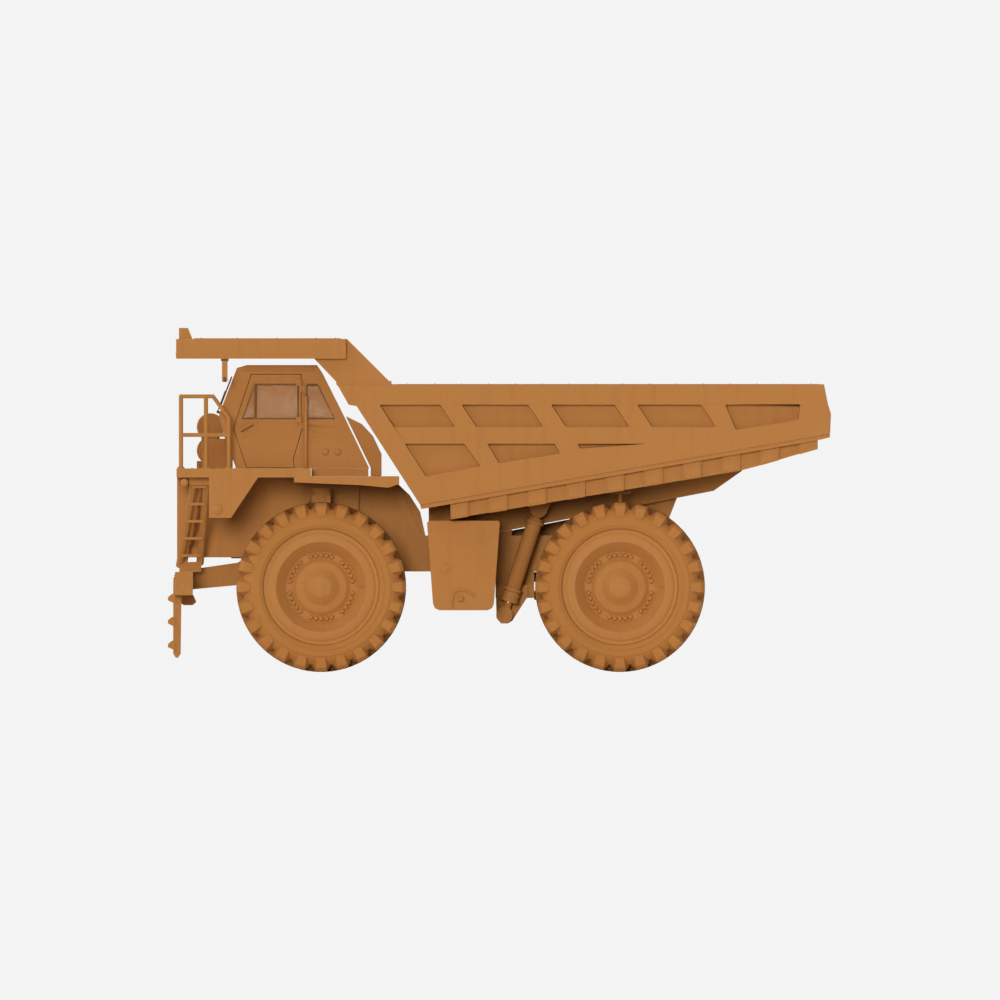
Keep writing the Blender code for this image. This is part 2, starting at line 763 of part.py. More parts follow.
def build_rear_axle():
    """The final-drive housing: banjo, tubes, wheel-end drums, nose, drawbar and strut seats."""
    half = [(0, 0.0), (0.46, 0.0), (0.46, 0.20), (0.22, 0.40), (0.22, 0.88), (0.52, 0.96), (0.52, AXLE_END_Y)]
    right = turned([*half, (0, AXLE_END_Y)], (REAR_AXLE_X, TYRE_RADIUS), 1)
    left = turned([(0, -0.01), (0.459, -0.01), *half[2:], (0, AXLE_END_Y)], (REAR_AXLE_X, TYRE_RADIUS), -1)
    nose = rod((REAR_AXLE_X - AXLE_NOSE, 0, DRIVE_LINE_Z), (REAR_AXLE_X - 0.2, 0, DRIVE_LINE_Z), 0.17, 16)
    drawbar = plan_prism(
        [
            (HOIST_BEAM_X[1] + SEAT_GAP, -0.16),
            (HOIST_BEAM_X[1] + SEAT_GAP, 0.16),
            (REAR_AXLE_X - 0.10, 0.60),
            (REAR_AXLE_X - 0.10, -0.60),
        ],
        1.10,
        1.24,
    )
    struts = []
    for y in (-0.42, 0.42):
        struts.append(rod((REAR_AXLE_X, y, TYRE_RADIUS), (REAR_AXLE_X, y, 1.95 - SEAT_GAP), 0.11, 16))
        struts.append(rod((REAR_AXLE_X, y, 1.50), (REAR_AXLE_X, y, 1.74), 0.15, 16))
    return joined(right, left, nose, drawbar, *struts)


def build_knuckle(side):
    """A front wheel's spindle, its kingpin under the strut, and its steering arm."""
    y = side * KINGPIN_Y
    column = rod((FRONT_AXLE_X, y, 1.02), (FRONT_AXLE_X, y, STRUT_BOTTOM_Z - SEAT_GAP), 0.13, 24)
    foot = rod((FRONT_AXLE_X, y, 0.98), (FRONT_AXLE_X, y, 1.56), 0.19, 24)
    rim_back = FRONT_TYRE_INNER_Y + TYRE_WIDTH - FLANGE_INSET - DISH_DEPTH - 0.18
    spindle = turned(
        [(0, KINGPIN_Y), (0.30, KINGPIN_Y + 0.05), (0.30, HUB_SHOULDER_Y - SEAT_GAP),
         (SPINDLE_RADIUS, HUB_SHOULDER_Y - SEAT_GAP), (SPINDLE_RADIUS, rim_back - PIVOT_GAP),
         (0, rim_back - PIVOT_GAP)],
        (FRONT_AXLE_X, TYRE_RADIUS),
        side,
    )
    arm_end = FRONT_AXLE_X + STEER_ARM
    arm_top = TIE_ROD_Z - TIE_ROD_RADIUS - SEAT_GAP
    arm = box((FRONT_AXLE_X, arm_end), (y - 0.09, y + 0.09), (arm_top - 0.10, arm_top))
    end = rod((arm_end, y, arm_top - 0.10), (arm_end, y, arm_top), 0.09, 16)
    return joined(foot, column, spindle, arm, end)


def build_tie_rod():
    """The rod between the steering arms, with a flat eye lying on each arm's end."""
    x = FRONT_AXLE_X + STEER_ARM
    bar = rod((x, -KINGPIN_Y, TIE_ROD_Z), (x, KINGPIN_Y, TIE_ROD_Z), TIE_ROD_RADIUS * 0.8, 12)
    low, high = TIE_ROD_Z - TIE_ROD_RADIUS, TIE_ROD_Z + TIE_ROD_RADIUS
    eyes = [rod((x, y, low), (x, y, high), 0.085, 16) for y in (-KINGPIN_Y, KINGPIN_Y)]
    return joined(bar, *eyes)


# Hoists


def hoist_axis():
    """The closed hoist's direction, from its lower eye to its upper pin, and the distance between them."""
    along = Vector(HOIST_UPPER) - Vector(HOIST_LOWER)
    return along.normalized(), along.length


def on_hoist(distance, side):
    """The world point at a distance from the lower eye along one closed hoist."""
    direction, _ = hoist_axis()
    x, z = Vector(HOIST_LOWER) + direction * distance
    return (x, side * HOIST_Y, z)


def build_barrel(side):
    _, length = hoist_axis()
    tube = rod(on_hoist(HOIST_BARREL_END, side), on_hoist(length - 0.14, side), HOIST_BARREL_RADIUS, 24)
    neck = rod(on_hoist(length - 0.17, side), on_hoist(length - 0.05, side), EYE_WIDTH / 2 - 0.002, 16)
    collar_radius = HOIST_BARREL_RADIUS + HOIST_COLLAR
    collar = rod(on_hoist(HOIST_BARREL_END, side), on_hoist(0.36, side), collar_radius, 24)
    bore = rod(
        on_hoist(HOIST_BARREL_END - 0.1, side),
        on_hoist(length - 0.20, side),
        HOIST_STAGE_RADIUS + SLIDE_GAP,
        24,
    )
    x, y, z = on_hoist(length, side)
    half = EYE_WIDTH / 2
    eye = rod((x, y - half, z), (x, y + half, z), EYE_RADIUS, 24)
    hole = rod((x, y - 1, z), (x, y + 1, z), UPPER_PIN_RADIUS + PIVOT_GAP, 24)
    return cut(joined(tube, collar, neck, eye), bore, hole)


def build_stage(side):
    _, length = hoist_axis()
    tube = rod(on_hoist(HOIST_BARREL_END - 0.01, side), on_hoist(length - 0.22, side), HOIST_STAGE_RADIUS, 24)
    bore = rod(
        on_hoist(HOIST_BARREL_END - 0.1, side),
        on_hoist(length - 0.27, side),
        HOIST_ROD_RADIUS + SLIDE_GAP,
        24,
    )
    return cut(tube, bore)


def build_hoist_rod(side):
    _, length = hoist_axis()
    shaft = rod(on_hoist(0.02, side), on_hoist(length - 0.30, side), HOIST_ROD_RADIUS, 24)
    x, y, z = on_hoist(0, side)
    eye = rod((x, side * LOWER_EYE_INNER_Y, z), (x, y + side * EYE_WIDTH / 2, z), EYE_RADIUS, 24)
    return joined(eye, shaft)


# Cab


CAB_OUTLINE = [
    # x, z, from the roof's front corner rearwards
    (-3.853, 4.685),
    (-2.785, 4.685),
    (-2.700, 4.560),
    (-2.370, 3.902),
    (-1.986, CAB_FLOOR_Z),
    (-4.020, CAB_FLOOR_Z),
    (-4.200, 3.600),
    (-4.280, 3.930),
    (-4.006, 4.641),
]

DOOR_OUTLINE = [
    # x, z
    (-3.783, 4.539),
    (-3.030, 4.539),
    (-3.030, 3.670),
    (-3.153, 3.243),
    (-3.130, 3.122),
    (-3.853, 3.122),
    (-4.056, 3.720),
]


def cab_section(inset):
    """The cab's cross section of (y, z) points, inset from its outside, with the lower side flared out."""
    outside = [
        (CAB_LEFT_Y, CAB_FLOOR_Z - 1),
        (CAB_LEFT_Y, 3.466),
        (CAB_UPPER_Y, 3.725),
        (CAB_UPPER_Y, 6.0),
        (CAB_RIGHT_Y, 6.0),
        (CAB_RIGHT_Y, CAB_FLOOR_Z - 1),
    ]
    return offset(outside, inset) if inset else outside


def cab_volume(inset):
    """The cab's outside volume, or its inside one at an inset from it."""
    side = offset(CAB_OUTLINE, inset) if inset else CAB_OUTLINE
    return common(side_prism(side, -4, 1), front_prism(cab_section(inset), -6, 0))


DOOR_WINDOW = [(-3.731, 4.401), (-3.060, 4.401), (-3.060, 3.856), (-3.937, 3.856)]
REAR_SIDE_WINDOW = [(-2.949, 4.401), (-2.771, 4.401), (-2.506, 3.856), (-2.949, 3.856)]
RIGHT_WINDOW = [(-3.731, 4.401), (-2.771, 4.401), (-2.506, 3.856), (-3.937, 3.856)]
WINDSCREEN_Y = (-2.05, -0.69)


def line_slab(lower, upper, outside, inside, y_range):
    """A slab along the line between two (x, z) points, from outside to inside of it, across y_range."""
    low, high = Vector(lower), Vector(upper)
    along = (high - low).normalized()
    normal = Vector((along.y, -along.x))
    corners = [low + normal * outside, high + normal * outside, high + normal * inside, low + normal * inside]
    return side_prism([tuple(corner) for corner in corners], *y_range)


def part_way(first, second, share):
    return tuple(Vector(first).lerp(Vector(second), share))


def screen_lines():
    """The lower and upper ends of the windscreen's and the rear window's openings, on the cab's outline."""
    front_low, front_high = CAB_OUTLINE[-2], CAB_OUTLINE[-1]
    rear_low, rear_high = CAB_OUTLINE[3], CAB_OUTLINE[2]
    front = (part_way(front_low, front_high, 0.08), part_way(front_low, front_high, 0.92))
    rear = (part_way(rear_low, rear_high, 0.10), part_way(rear_low, rear_high, 0.85))
    return front, rear


def grown_ends(low, high, by):
    """A line's two ends moved apart by a distance each."""
    along = (Vector(high) - Vector(low)).normalized() * by
    return tuple(Vector(low) - along), tuple(Vector(high) + along)


HINGE_RADIUS = 0.02
HINGE_SPANS = [
    # bottom, top
    (3.80, 3.90),
    (4.36, 4.46),
]


def hinge_parts(arm_x, z_offset):
    """A leaf for each hinge: a barrel on the door's axis and an arm across arm_x to the cab's skin."""
    shapes = []
    for bottom, top in HINGE_SPANS:
        low, high = bottom + z_offset, top + z_offset
        start, end = (DOOR_HINGE_X, CAB_LEFT_Y, low), (DOOR_HINGE_X, CAB_LEFT_Y, high)
        shapes.append(rod(start, end, HINGE_RADIUS, 12))
        shapes.append(box(arm_x, (CAB_LEFT_Y - 0.01, CAB_UPPER_Y + 0.01), (low + 0.01, high - 0.01)))
    return shapes


def build_cab_shell():
    shell = cut(cab_volume(0), cab_volume(CAB_WALL))
    side_reach = (CAB_LEFT_Y - 0.1, CAB_UPPER_Y + CAB_WALL + 0.03)
    right_reach = (CAB_RIGHT_Y - CAB_WALL - 0.03, CAB_RIGHT_Y + 0.1)
    front, rear = screen_lines()
    reach = CAB_WALL + 0.03
    opened = cut(
        shell,
        side_prism(offset(DOOR_OUTLINE, -SHUT_GAP), CAB_LEFT_Y - 0.1, CAB_UPPER_Y + CAB_WALL + 0.06),
        side_prism(REAR_SIDE_WINDOW, *side_reach),
        side_prism(RIGHT_WINDOW, *right_reach),
        line_slab(*front, -0.05, reach, WINDSCREEN_Y),
        line_slab(*rear, 0.05, -reach, WINDSCREEN_Y),
    )
    return joined(opened, *hinge_parts((DOOR_HINGE_X + 0.015, DOOR_HINGE_X + 0.065), -0.10 - SEAT_GAP))


def build_cab_door():
    """The door: the cab's own skin inside the door's outline, with its window cut and its handle on it."""
    skin = cut(cab_volume(0), cab_volume(CAB_WALL))
    panel = common(skin, side_prism(DOOR_OUTLINE, CAB_LEFT_Y - 0.05, CAB_UPPER_Y + CAB_WALL + 0.02))
    mullion = box((-3.745, -3.717), (CAB_UPPER_Y, CAB_UPPER_Y + CAB_WALL), (3.80, 4.45))
    window = side_prism(DOOR_WINDOW, CAB_LEFT_Y - 0.1, CAB_UPPER_Y + CAB_WALL + 0.1)
    leaves = hinge_parts((DOOR_HINGE_X - 0.065, DOOR_HINGE_X - 0.015), 0)
    return joined(cut(panel, window), mullion, *leaves, *door_handle())


def door_handle():
    """The grab handle near the door's free edge, standing off the flared skin."""
    y = CAB_LEFT_Y - 0.05
    bar = rod((-3.960, y, 3.690), (-3.775, y, 3.795), 0.016)
    ends = [rod((x, y, z), (x, CAB_UPPER_Y + 0.02, z), 0.014) for x, z in ((-3.95, 3.696), (-3.785, 3.789))]
    return [bar, *ends]


def pane(outline, wall_inner_y, inwards):
    """A pane that laps its opening by GLASS_LAP, lying on the wall's inner face."""
    near = wall_inner_y + inwards * SEAT_GAP
    return side_prism(offset(outline, -GLASS_LAP), *sorted((near, near + inwards * GLASS)))


def screen_pane(line, into):
    """A sloping pane behind one of the openings across the cab, into giving the inward normal's sign."""
    ends = grown_ends(*line, GLASS_LAP)
    near = CAB_WALL + SEAT_GAP
    y_low, y_high = WINDSCREEN_Y
    return line_slab(*ends, into * near, into * (near + GLASS), (y_low - GLASS_LAP, y_high + GLASS_LAP))


def build_seat():
    """The operator's seat on its pedestal, facing forwards."""
    floor = CAB_FLOOR_Z + CAB_WALL + SEAT_GAP
    middle = (CAB_LEFT_Y + CAB_RIGHT_Y) / 2 - 0.1
    width = 0.27
    pedestal = box((-3.25, -2.85), (middle - 0.18, middle + 0.18), (floor, floor + 0.32))
    cushion = box((-3.36, -2.80), (middle - width, middle + width), (floor + 0.30, floor + 0.46))
    back = side_prism(
        [(-2.90, floor + 0.40), (-2.78, floor + 1.10), (-2.66, floor + 1.10), (-2.76, floor + 0.40)],
        middle - width,
        middle + width,
    )
    return joined(pedestal, cushion, back)


def build_console():
    """The dash under the windscreen with the steering column and wheel."""
    floor = CAB_FLOOR_Z + CAB_WALL + SEAT_GAP
    middle = (CAB_LEFT_Y + CAB_RIGHT_Y) / 2 - 0.1
    dash = side_prism(
        [(-3.93, floor), (-4.02, 3.50), (-4.05, 3.80), (-3.82, 3.84), (-3.72, 3.70), (-3.72, floor)],
        CAB_LEFT_Y + 0.16,
        CAB_RIGHT_Y - 0.10,
    )
    column = rod((-3.80, middle, 3.55), (-3.58, middle, 3.90), 0.04, 12)
    wheel = rod((-3.583, middle, 3.895), (-3.561, middle, 3.930), 0.20, 24)
    return joined(dash, column, wheel)


# What stands on the decks and hangs beside the rails


def build_cabinet():
    """The cabinet behind the cab, following the cab's sloping back."""
    foot = REAR_DECK_TOP_Z + SEAT_GAP
    outline = [(-1.965, foot), (-1.965, 3.12), (-2.345, 3.905), (-2.10, 3.784), (-1.93, 3.60), (-1.80, 3.325)]
    return side_prism([*outline, (-1.80, foot)], CAB_LEFT_Y + 0.10, CAB_RIGHT_Y - 0.10)


def build_battery_box():
    foot = DECK_TOP_Z + SEAT_GAP
    outline = [(-4.54, foot), (-4.54, 3.50), (-4.48, 3.563), (-4.10, 3.563), (-4.07, 3.53), (-4.07, foot)]
    return side_prism(outline, -0.55, 0.35)


def build_air_cleaner():
    """Two canisters on a stand at the right front of the deck."""
    foot = DECK_TOP_Z + SEAT_GAP
    stand = box((-4.62, -4.20), (0.95, 2.15), (foot, 3.22))
    canisters = [rod((x, 0.90, z), (x, 2.20, z), 0.20, 20) for x, z in ((-4.41, 3.38), (-4.41, 3.74))]
    brackets = [box((-4.55, -4.27), (y, y + 0.08), (3.15, 3.74)) for y in (1.10, 1.90)]
    return joined(stand, *canisters, *brackets)


def build_retarder_cabinet():
    foot = DECK_TOP_Z + SEAT_GAP
    outline = [(-3.95, foot), (-3.95, 4.02), (-3.85, 4.14), (-2.98, 4.14), (-2.90, 4.04), (-2.90, foot)]
    return side_prism(outline, 0.80, 2.25)


def side_tank(side, x_top, x_bottom, bracket_xs):
    """A tank outboard of a rail, with rounded lower corners, on brackets from the rail."""
    top, bottom = 2.309, 0.942
    inner, outer = 1.40, 2.30
    front_top, rear_top = x_top
    front_bottom, rear_bottom = x_bottom
    curve = 0.10
    outline = [
        (front_top, top - 0.03),
        (front_top + 0.03, top),
        (rear_top - 0.03, top),
        (rear_top, top - 0.03),
        (rear_bottom, bottom + curve),
        (rear_bottom - curve * 0.3, bottom + curve * 0.3),
        (rear_bottom - curve, bottom),
        (front_bottom + curve, bottom),
        (front_bottom + curve * 0.3, bottom + curve * 0.3),
        (front_bottom, bottom + curve),
    ]
    tank = side_prism(outline, *sorted((side * inner, side * outer)))
    reach = sorted((side * (RAIL_OUTER_Y + SEAT_GAP), side * (inner + 0.02)))
    brackets = [box((x, x + 0.14), reach, (1.66, 1.94)) for x in bracket_xs]
    return joined(tank, *brackets)


# Load body


def floor_z(x):
    """The height of the floor plate's top, where the side walls stand on it."""
    foot_x, foot_z = BODY_FRONT_FOOT
    return foot_z + FLOOR_SLOPE * (x - foot_x)


def band_z(x):
    """The height of the underside of the floor's bolsters."""
    if x < 3.701:
        return 2.333 + 0.1693 * (x + 0.705)
    return 3.069 + (x - 3.701) * 0.287


def beam_under_z(x):
    """The height of the main beams' underside over the rails."""
    (x0, z0), (x1, z1) = BEAM_UNDERSIDE
    return z0 + (x - x0) * (z1 - z0) / (x1 - x0)


def head_x(z):
    """The load body's sloping front edge."""
    foot_x, foot_z = BODY_FRONT_FOOT
    return foot_x - 0.644 * (z - foot_z)


class Recess(NamedTuple):
    """A sunk panel between the ribs of a side wall, by the (x, z) of its corners."""

    top_left: tuple[float, float]
    top_right: tuple[float, float]
    bottom_right: tuple[float, float]
    bottom_left: tuple[float, float]


UPPER_ROW_Z = (4.076, 3.743)
UPPER_ROW_LEAN = 0.22
UPPER_ROW_SPANS = [
    # left end, right end, at the top
    (-1.825, -0.905),
    (-0.572, 0.441),
    (0.794, 1.755),
    (2.107, 3.079),
]
TAIL_RECESS = Recess((3.447, 4.076), (4.586, 4.076), (4.563, 3.852), (3.609, 3.700))
LOWER_RECESSES = [
    Recess((-1.442, 3.481), (-0.537, 3.481), (-0.298, 3.145), (-1.126, 2.988)),
    Recess((-0.182, 3.481), (0.844, 3.481), (0.923, 3.336), (-0.009, 3.191)),
]
TAPERED_RECESS = [(1.198, 3.481), (2.220, 3.481), (1.228, 3.412)]


def recess_outlines():
    top, bottom = UPPER_ROW_Z
    upper = [
        [(left, top), (right, top), (right + UPPER_ROW_LEAN, bottom), (left + UPPER_ROW_LEAN, bottom)]
        for left, right in UPPER_ROW_SPANS
    ]
    return [*upper, list(TAIL_RECESS), *[list(recess) for recess in LOWER_RECESSES], TAPERED_RECESS]


def build_body_side(side):
    outline = [
        (-2.491, BODY_TOP_Z),
        (4.952, BODY_TOP_Z),
        (5.013, 4.085),
        (5.059, 3.942),
        (5.046, floor_z(5.046)),
        BODY_FRONT_FOOT,
        (-2.182, 4.060),
        (-2.301, 4.077),
        (-2.455, 4.351),
    ]
    inner, outer = BODY_HALF_WIDTH - BODY_SIDE_DEPTH, BODY_HALF_WIDTH
    wall = side_prism(outline, *sorted((side * inner, side * outer)))
    recess_span = sorted((side * (outer - RECESS_DEPTH), side * (outer + 0.1)))
    return cut(wall, *[side_prism(recess, *recess_span) for recess in recess_outlines()])


def head_strip(low, high, near, far):
    """The outline of a strip between two heights, at two distances behind the load body's front edge."""
    return [
        (head_x(low) + near, low),
        (head_x(high) + near, high),
        (head_x(high) + far, high),
        (head_x(low) + far, low),
    ]


def build_headwall():
    """The sloping front wall of the load space, with the ribs and beam on its front."""
    half = BODY_HALF_WIDTH - BODY_SIDE_DEPTH - SEAT_GAP
    top = BODY_TOP_Z - SEAT_GAP
    near, far = 0.13, 0.22
    foot_near, foot_far = head_x(2.57) + near, head_x(2.59) + far
    plate = side_prism(
        [
            (foot_near, floor_z(foot_near) + SEAT_GAP),
            (head_x(top) + near, top),
            (head_x(top) + far, top),
            (foot_far, floor_z(foot_far) + SEAT_GAP),
        ],
        -half,
        half,
    )
    low, high = 2.66, 4.02
    rib = head_strip(low, high, 0.06, 0.16)
    ribs = [side_prism(rib, y - 0.09, y + 0.09) for y in (-2.0, -1.0, 0.0, 1.0, 2.0)]
    beam = head_strip(3.86, high, 0.04, 0.16)
    return joined(plate, *ribs, side_prism(beam, -half + 0.05, half - 0.05))


def build_body_floor():
    """The floor plate with its cross bolsters, outer beams, main beams and hinge lugs below."""
    overlap = 0.05
    start_x, end_x = BODY_FRONT_FOOT[0], 5.046
    plate = side_prism(
        [
            (start_x, floor_z(start_x) - SEAT_GAP),
            (end_x, floor_z(end_x) - SEAT_GAP),
            (5.043, 3.581),
            (4.921, 3.550),
            (start_x + 0.02, floor_z(start_x) - FLOOR_PLATE),
        ],
        -BODY_HALF_WIDTH + 0.02,
        BODY_HALF_WIDTH - 0.02,
    )
    shapes = []
    for index in range(BOLSTER_COUNT):
        x0 = BOLSTER_START_X + BOLSTER_PITCH * index
        x1 = x0 + BOLSTER_WIDTH
        bolster = [(x0, band_z(x0)), (x0, floor_z(x0) - overlap)]
        bolster += [(x1, floor_z(x1) - overlap), (x1, band_z(x1))]
        shapes.append(side_prism(bolster, -2.66, 2.66))
    band = [(-0.74, band_z(-0.74) + 0.01), (3.701, 3.079), (3.969, 3.150), (4.85, 3.410)]
    band += [(4.85, floor_z(4.85) - overlap), (-0.74, floor_z(-0.74) - overlap)]
    shapes += [side_prism(band, *span) for span in both_sides(2.30, 2.58)]
    main_beam = [
        (-1.08, 2.20),
        (-0.30, 2.20),
        *BEAM_UNDERSIDE,
        (3.267, 2.764),
        (3.701, 3.069),
        (3.701, floor_z(3.701) - overlap),
        (-1.08, floor_z(-1.08) - 0.03),
    ]
    shapes += [side_prism(main_beam, *span) for span in both_sides(RAIL_INNER_Y, RAIL_OUTER_Y)]
    shapes.append(box((-1.08, -0.76), (-1.20, 1.20), (2.21, 2.54)))
    pivot_x, pivot_z = BED_PIVOT
    lug = [
        (pivot_x - 0.45, pivot_z + 0.66),
        (pivot_x - 0.17, pivot_z),
        (pivot_x - 0.12, pivot_z - 0.12),
        (pivot_x, pivot_z - 0.17),
        (pivot_x + 0.12, pivot_z - 0.12),
        (pivot_x + 0.17, pivot_z),
        (pivot_x + 0.45, pivot_z + 0.72),
    ]
    shapes += [side_prism(lug, *span) for span in both_sides(0.45, RAIL_INNER_Y - SEAT_GAP)]
    reach = RAIL_INNER_Y + 0.01
    hinge_hole = rod((pivot_x, -reach, pivot_z), (pivot_x, reach, pivot_z), PIVOT_PIN_RADIUS + PIVOT_GAP, 24)
    floor = cut(joined(plate, *shapes), *hoist_notches())
    return cut(joined(floor, *hoist_brackets()), hinge_hole)


def hoist_notches():
    """The room in a bolster for each hoist's upper eye."""
    upper_x, upper_z = HOIST_UPPER
    half = EYE_WIDTH / 2 + SEAT_GAP
    notches = []
    for side in (-1, 1):
        y = side * HOIST_Y
        start, end = (upper_x, y - half, upper_z), (upper_x, y + half, upper_z)
        notches.append(rod(start, end, EYE_RADIUS + 2 * PIVOT_GAP, 24))
    return notches


def hoist_brackets():
    """The brackets with a pin for each hoist's upper eye, under the floor's bolsters."""
    upper_x, upper_z = HOIST_UPPER
    eye_inner = HOIST_Y - EYE_WIDTH / 2
    eye_outer = HOIST_Y + EYE_WIDTH / 2
    cheek = 0.07
    outline = [
        (upper_x - 0.226, upper_z + 0.20),
        (upper_x - 0.10, upper_z - 0.083),
        (upper_x + 0.10, upper_z - 0.083),
        (upper_x + 0.262, upper_z + 0.25),
    ]
    shapes = []
    for low in (eye_inner - SEAT_GAP - cheek, eye_outer + SEAT_GAP):
        shapes += [side_prism(outline, *span) for span in both_sides(low, low + cheek)]
    for side in (-1, 1):
        start = (upper_x, side * (eye_inner - cheek * 0.7), upper_z)
        end = (upper_x, side * (eye_outer + cheek * 0.7), upper_z)
        shapes.append(rod(start, end, UPPER_PIN_RADIUS, 24))
        cap_top = floor_z(upper_x - 0.2) - 0.12
        cap_span = (side * (eye_inner - 0.08), side * (eye_outer + 0.08))
        shapes.append(box((upper_x - 0.24, upper_x + 0.27), cap_span, (upper_z + 0.17, cap_top)))
    return shapes


def build_canopy():
    """The canopy over the cab: its plate, beams, lip, gussets and the shelf that closes it to the body."""
    half = CANOPY_HALF_WIDTH
    top, plate = CANOPY_TOP_Z, CANOPY_PLATE
    foot = BODY_TOP_Z + SEAT_GAP
    rear_x = -2.327
    low_rear_x = -1.637
    roof = box((CANOPY_FRONT_X, rear_x - 0.02), (-half, half), (top - plate, top))
    slope = side_prism(
        [
            (rear_x, top),
            (low_rear_x, foot + 0.001),
            (low_rear_x - 0.08, foot + 0.001),
            (rear_x - 0.06, top - 0.055),
            (rear_x - 0.06, top),
        ],
        -BODY_HALF_WIDTH + 0.02,
        BODY_HALF_WIDTH - 0.02,
    )
    shelf_span = (-BODY_HALF_WIDTH + 0.02, BODY_HALF_WIDTH - 0.02)
    shelf = box((-2.49, low_rear_x - 0.01), shelf_span, (foot, foot + plate))
    gusset = [(-2.864, 4.82), (-2.475, foot + 0.02), (-1.70, foot + 0.02), (-2.345, 5.06), (-2.864, 5.06)]
    gusset_ys = (-2.70, -1.80, -0.90, 0.0, 0.90, 1.80, 2.70)
    gussets = [side_prism(gusset, y - 0.04, y + 0.04) for y in gusset_ys]
    lip_outline = [(-4.891, top - 0.02), (-4.891, 5.251), (-4.753, 5.251), (-4.677, top - 0.02)]
    lip = side_prism(lip_outline, -2.84, 2.84)
    beam_ys = (-1.8, -0.9, 0.0, 0.9, 1.8)
    beam_front = CANOPY_FRONT_X + plate + SEAT_GAP
    beams = [box((beam_front, -2.85), (y - 0.06, y + 0.06), (4.90, top - 0.01)) for y in beam_ys]
    reach = half - plate - SEAT_GAP
    crosses = [box((x, x + 0.10), (-reach, reach), (4.93, top - 0.01)) for x in (-4.20, -3.50)]
    return joined(roof, slope, shelf, *gussets, lip, *beams, *crosses)


def build_canopy_skirt():
    """The skirt under the canopy's front and side edges, with a marker post below each side."""
    half, plate = CANOPY_HALF_WIDTH, CANOPY_PLATE
    z_range = (CANOPY_BOTTOM_Z, CANOPY_TOP_Z - plate - SEAT_GAP)
    front, rear = CANOPY_FRONT_X, -2.345
    face = box((front, front + plate), (-half, half), z_range)
    sides = [box((front, rear), span, z_range) for span in both_sides(half - plate, half)]
    post_z = (4.433, CANOPY_BOTTOM_Z + 0.02)
    posts = [box((-4.235, -4.149), span, post_z) for span in both_sides(half - 0.045, half - 0.005)]
    return joined(face, *sides, *posts)


def bed_pads():
    """The pads on the rails that the lowered load body's main beams rest on."""
    pad_front, pad_rear, pad_foot = -0.008, 0.19, 2.06
    pad = [(pad_front, pad_foot), (pad_rear, pad_foot)]
    pad += [(x, beam_under_z(x) - 2 * SEAT_GAP) for x in (pad_rear, pad_front)]
    return [side_prism(pad, *span) for span in both_sides(RAIL_INNER_Y + 0.03, RAIL_OUTER_Y - 0.03)]


# The whole truck


def add_fixed_nodes():
    rail, frame_parts = build_frame()
    node("main_frame", joined(rail, *frame_parts, *bed_pads()), "frame_paint", PAINT)
    bar, bumper_parts = build_bumper()
    node("front_bumper", joined(bar, *bumper_parts), "frame_paint", PAINT)
    node("radiator_guard", build_guard(), "body_paint", PAINT)
    node("engine_hood", build_hood(), "body_paint", PAINT)
    node("engine_block", build_engine(), "engine_paint", DARK_PAINT)
    node("transmission_case", build_transmission(), "engine_paint", DARK_PAINT)
    node("drive_shaft", build_drive_shaft(), "bare_steel", STEEL)
    node("rear_axle_housing", build_rear_axle(), "frame_paint", PAINT)
    node("equipment_cabinet", build_cabinet(), "body_paint", PAINT)
    node("battery_box", build_battery_box(), "body_paint", PAINT)
    node("air_cleaner", build_air_cleaner(), "body_paint", PAINT)
    node("retarder_cabinet", build_retarder_cabinet(), "body_paint", PAINT)
    node("fuel_tank", side_tank(-1, (-1.106, 0.006), (-1.015, -0.084), (-0.98, -0.50)), "body_paint", PAINT)
    node("hydraulic_tank", side_tank(1, (-1.05, -0.06), (-0.96, -0.15), (-0.93, -0.52)), "body_paint", PAINT)
    for side, name in ((-1, "left"), (1, "right")):
        slab, deck_parts = build_platform(side)
        node(f"{name}_platform", joined(slab, *deck_parts), "body_paint", PAINT)
        tube, rail_parts = build_handrail(side)
        node(f"{name}_handrail", joined(tube, *rail_parts), "body_paint", PAINT)
        base, stair_parts = build_stair(side)
        node(f"{name}_stair", joined(base, *stair_parts), "body_paint", PAINT)


def add_cab():
    node("cab_shell", build_cab_shell(), "body_paint", PAINT)
    node("operator_seat", build_seat(), "cushion", CUSHION)
    node("dash_console", build_console(), "interior_plastic", DARK_PAINT)
    front, rear = screen_lines()
    node("windscreen_glass", screen_pane(front, 1), "tinted_glass", TINTED_GLASS)
    node("rear_glass", screen_pane(rear, -1), "tinted_glass", TINTED_GLASS)
    left_inner = CAB_UPPER_Y + CAB_WALL
    node("left_rear_glass", pane(REAR_SIDE_WINDOW, left_inner, 1), "tinted_glass", TINTED_GLASS)
    node("right_side_glass", pane(RIGHT_WINDOW, CAB_RIGHT_Y - CAB_WALL, -1), "tinted_glass", TINTED_GLASS)
    hinge = empty_at("cab_door_hinge", (DOOR_HINGE_X, CAB_LEFT_Y, 3.8))
    node("cab_door", build_cab_door(), "body_paint", PAINT, hinge)
    node("door_glass", pane(DOOR_WINDOW, left_inner, 1), "tinted_glass", TINTED_GLASS, hinge)


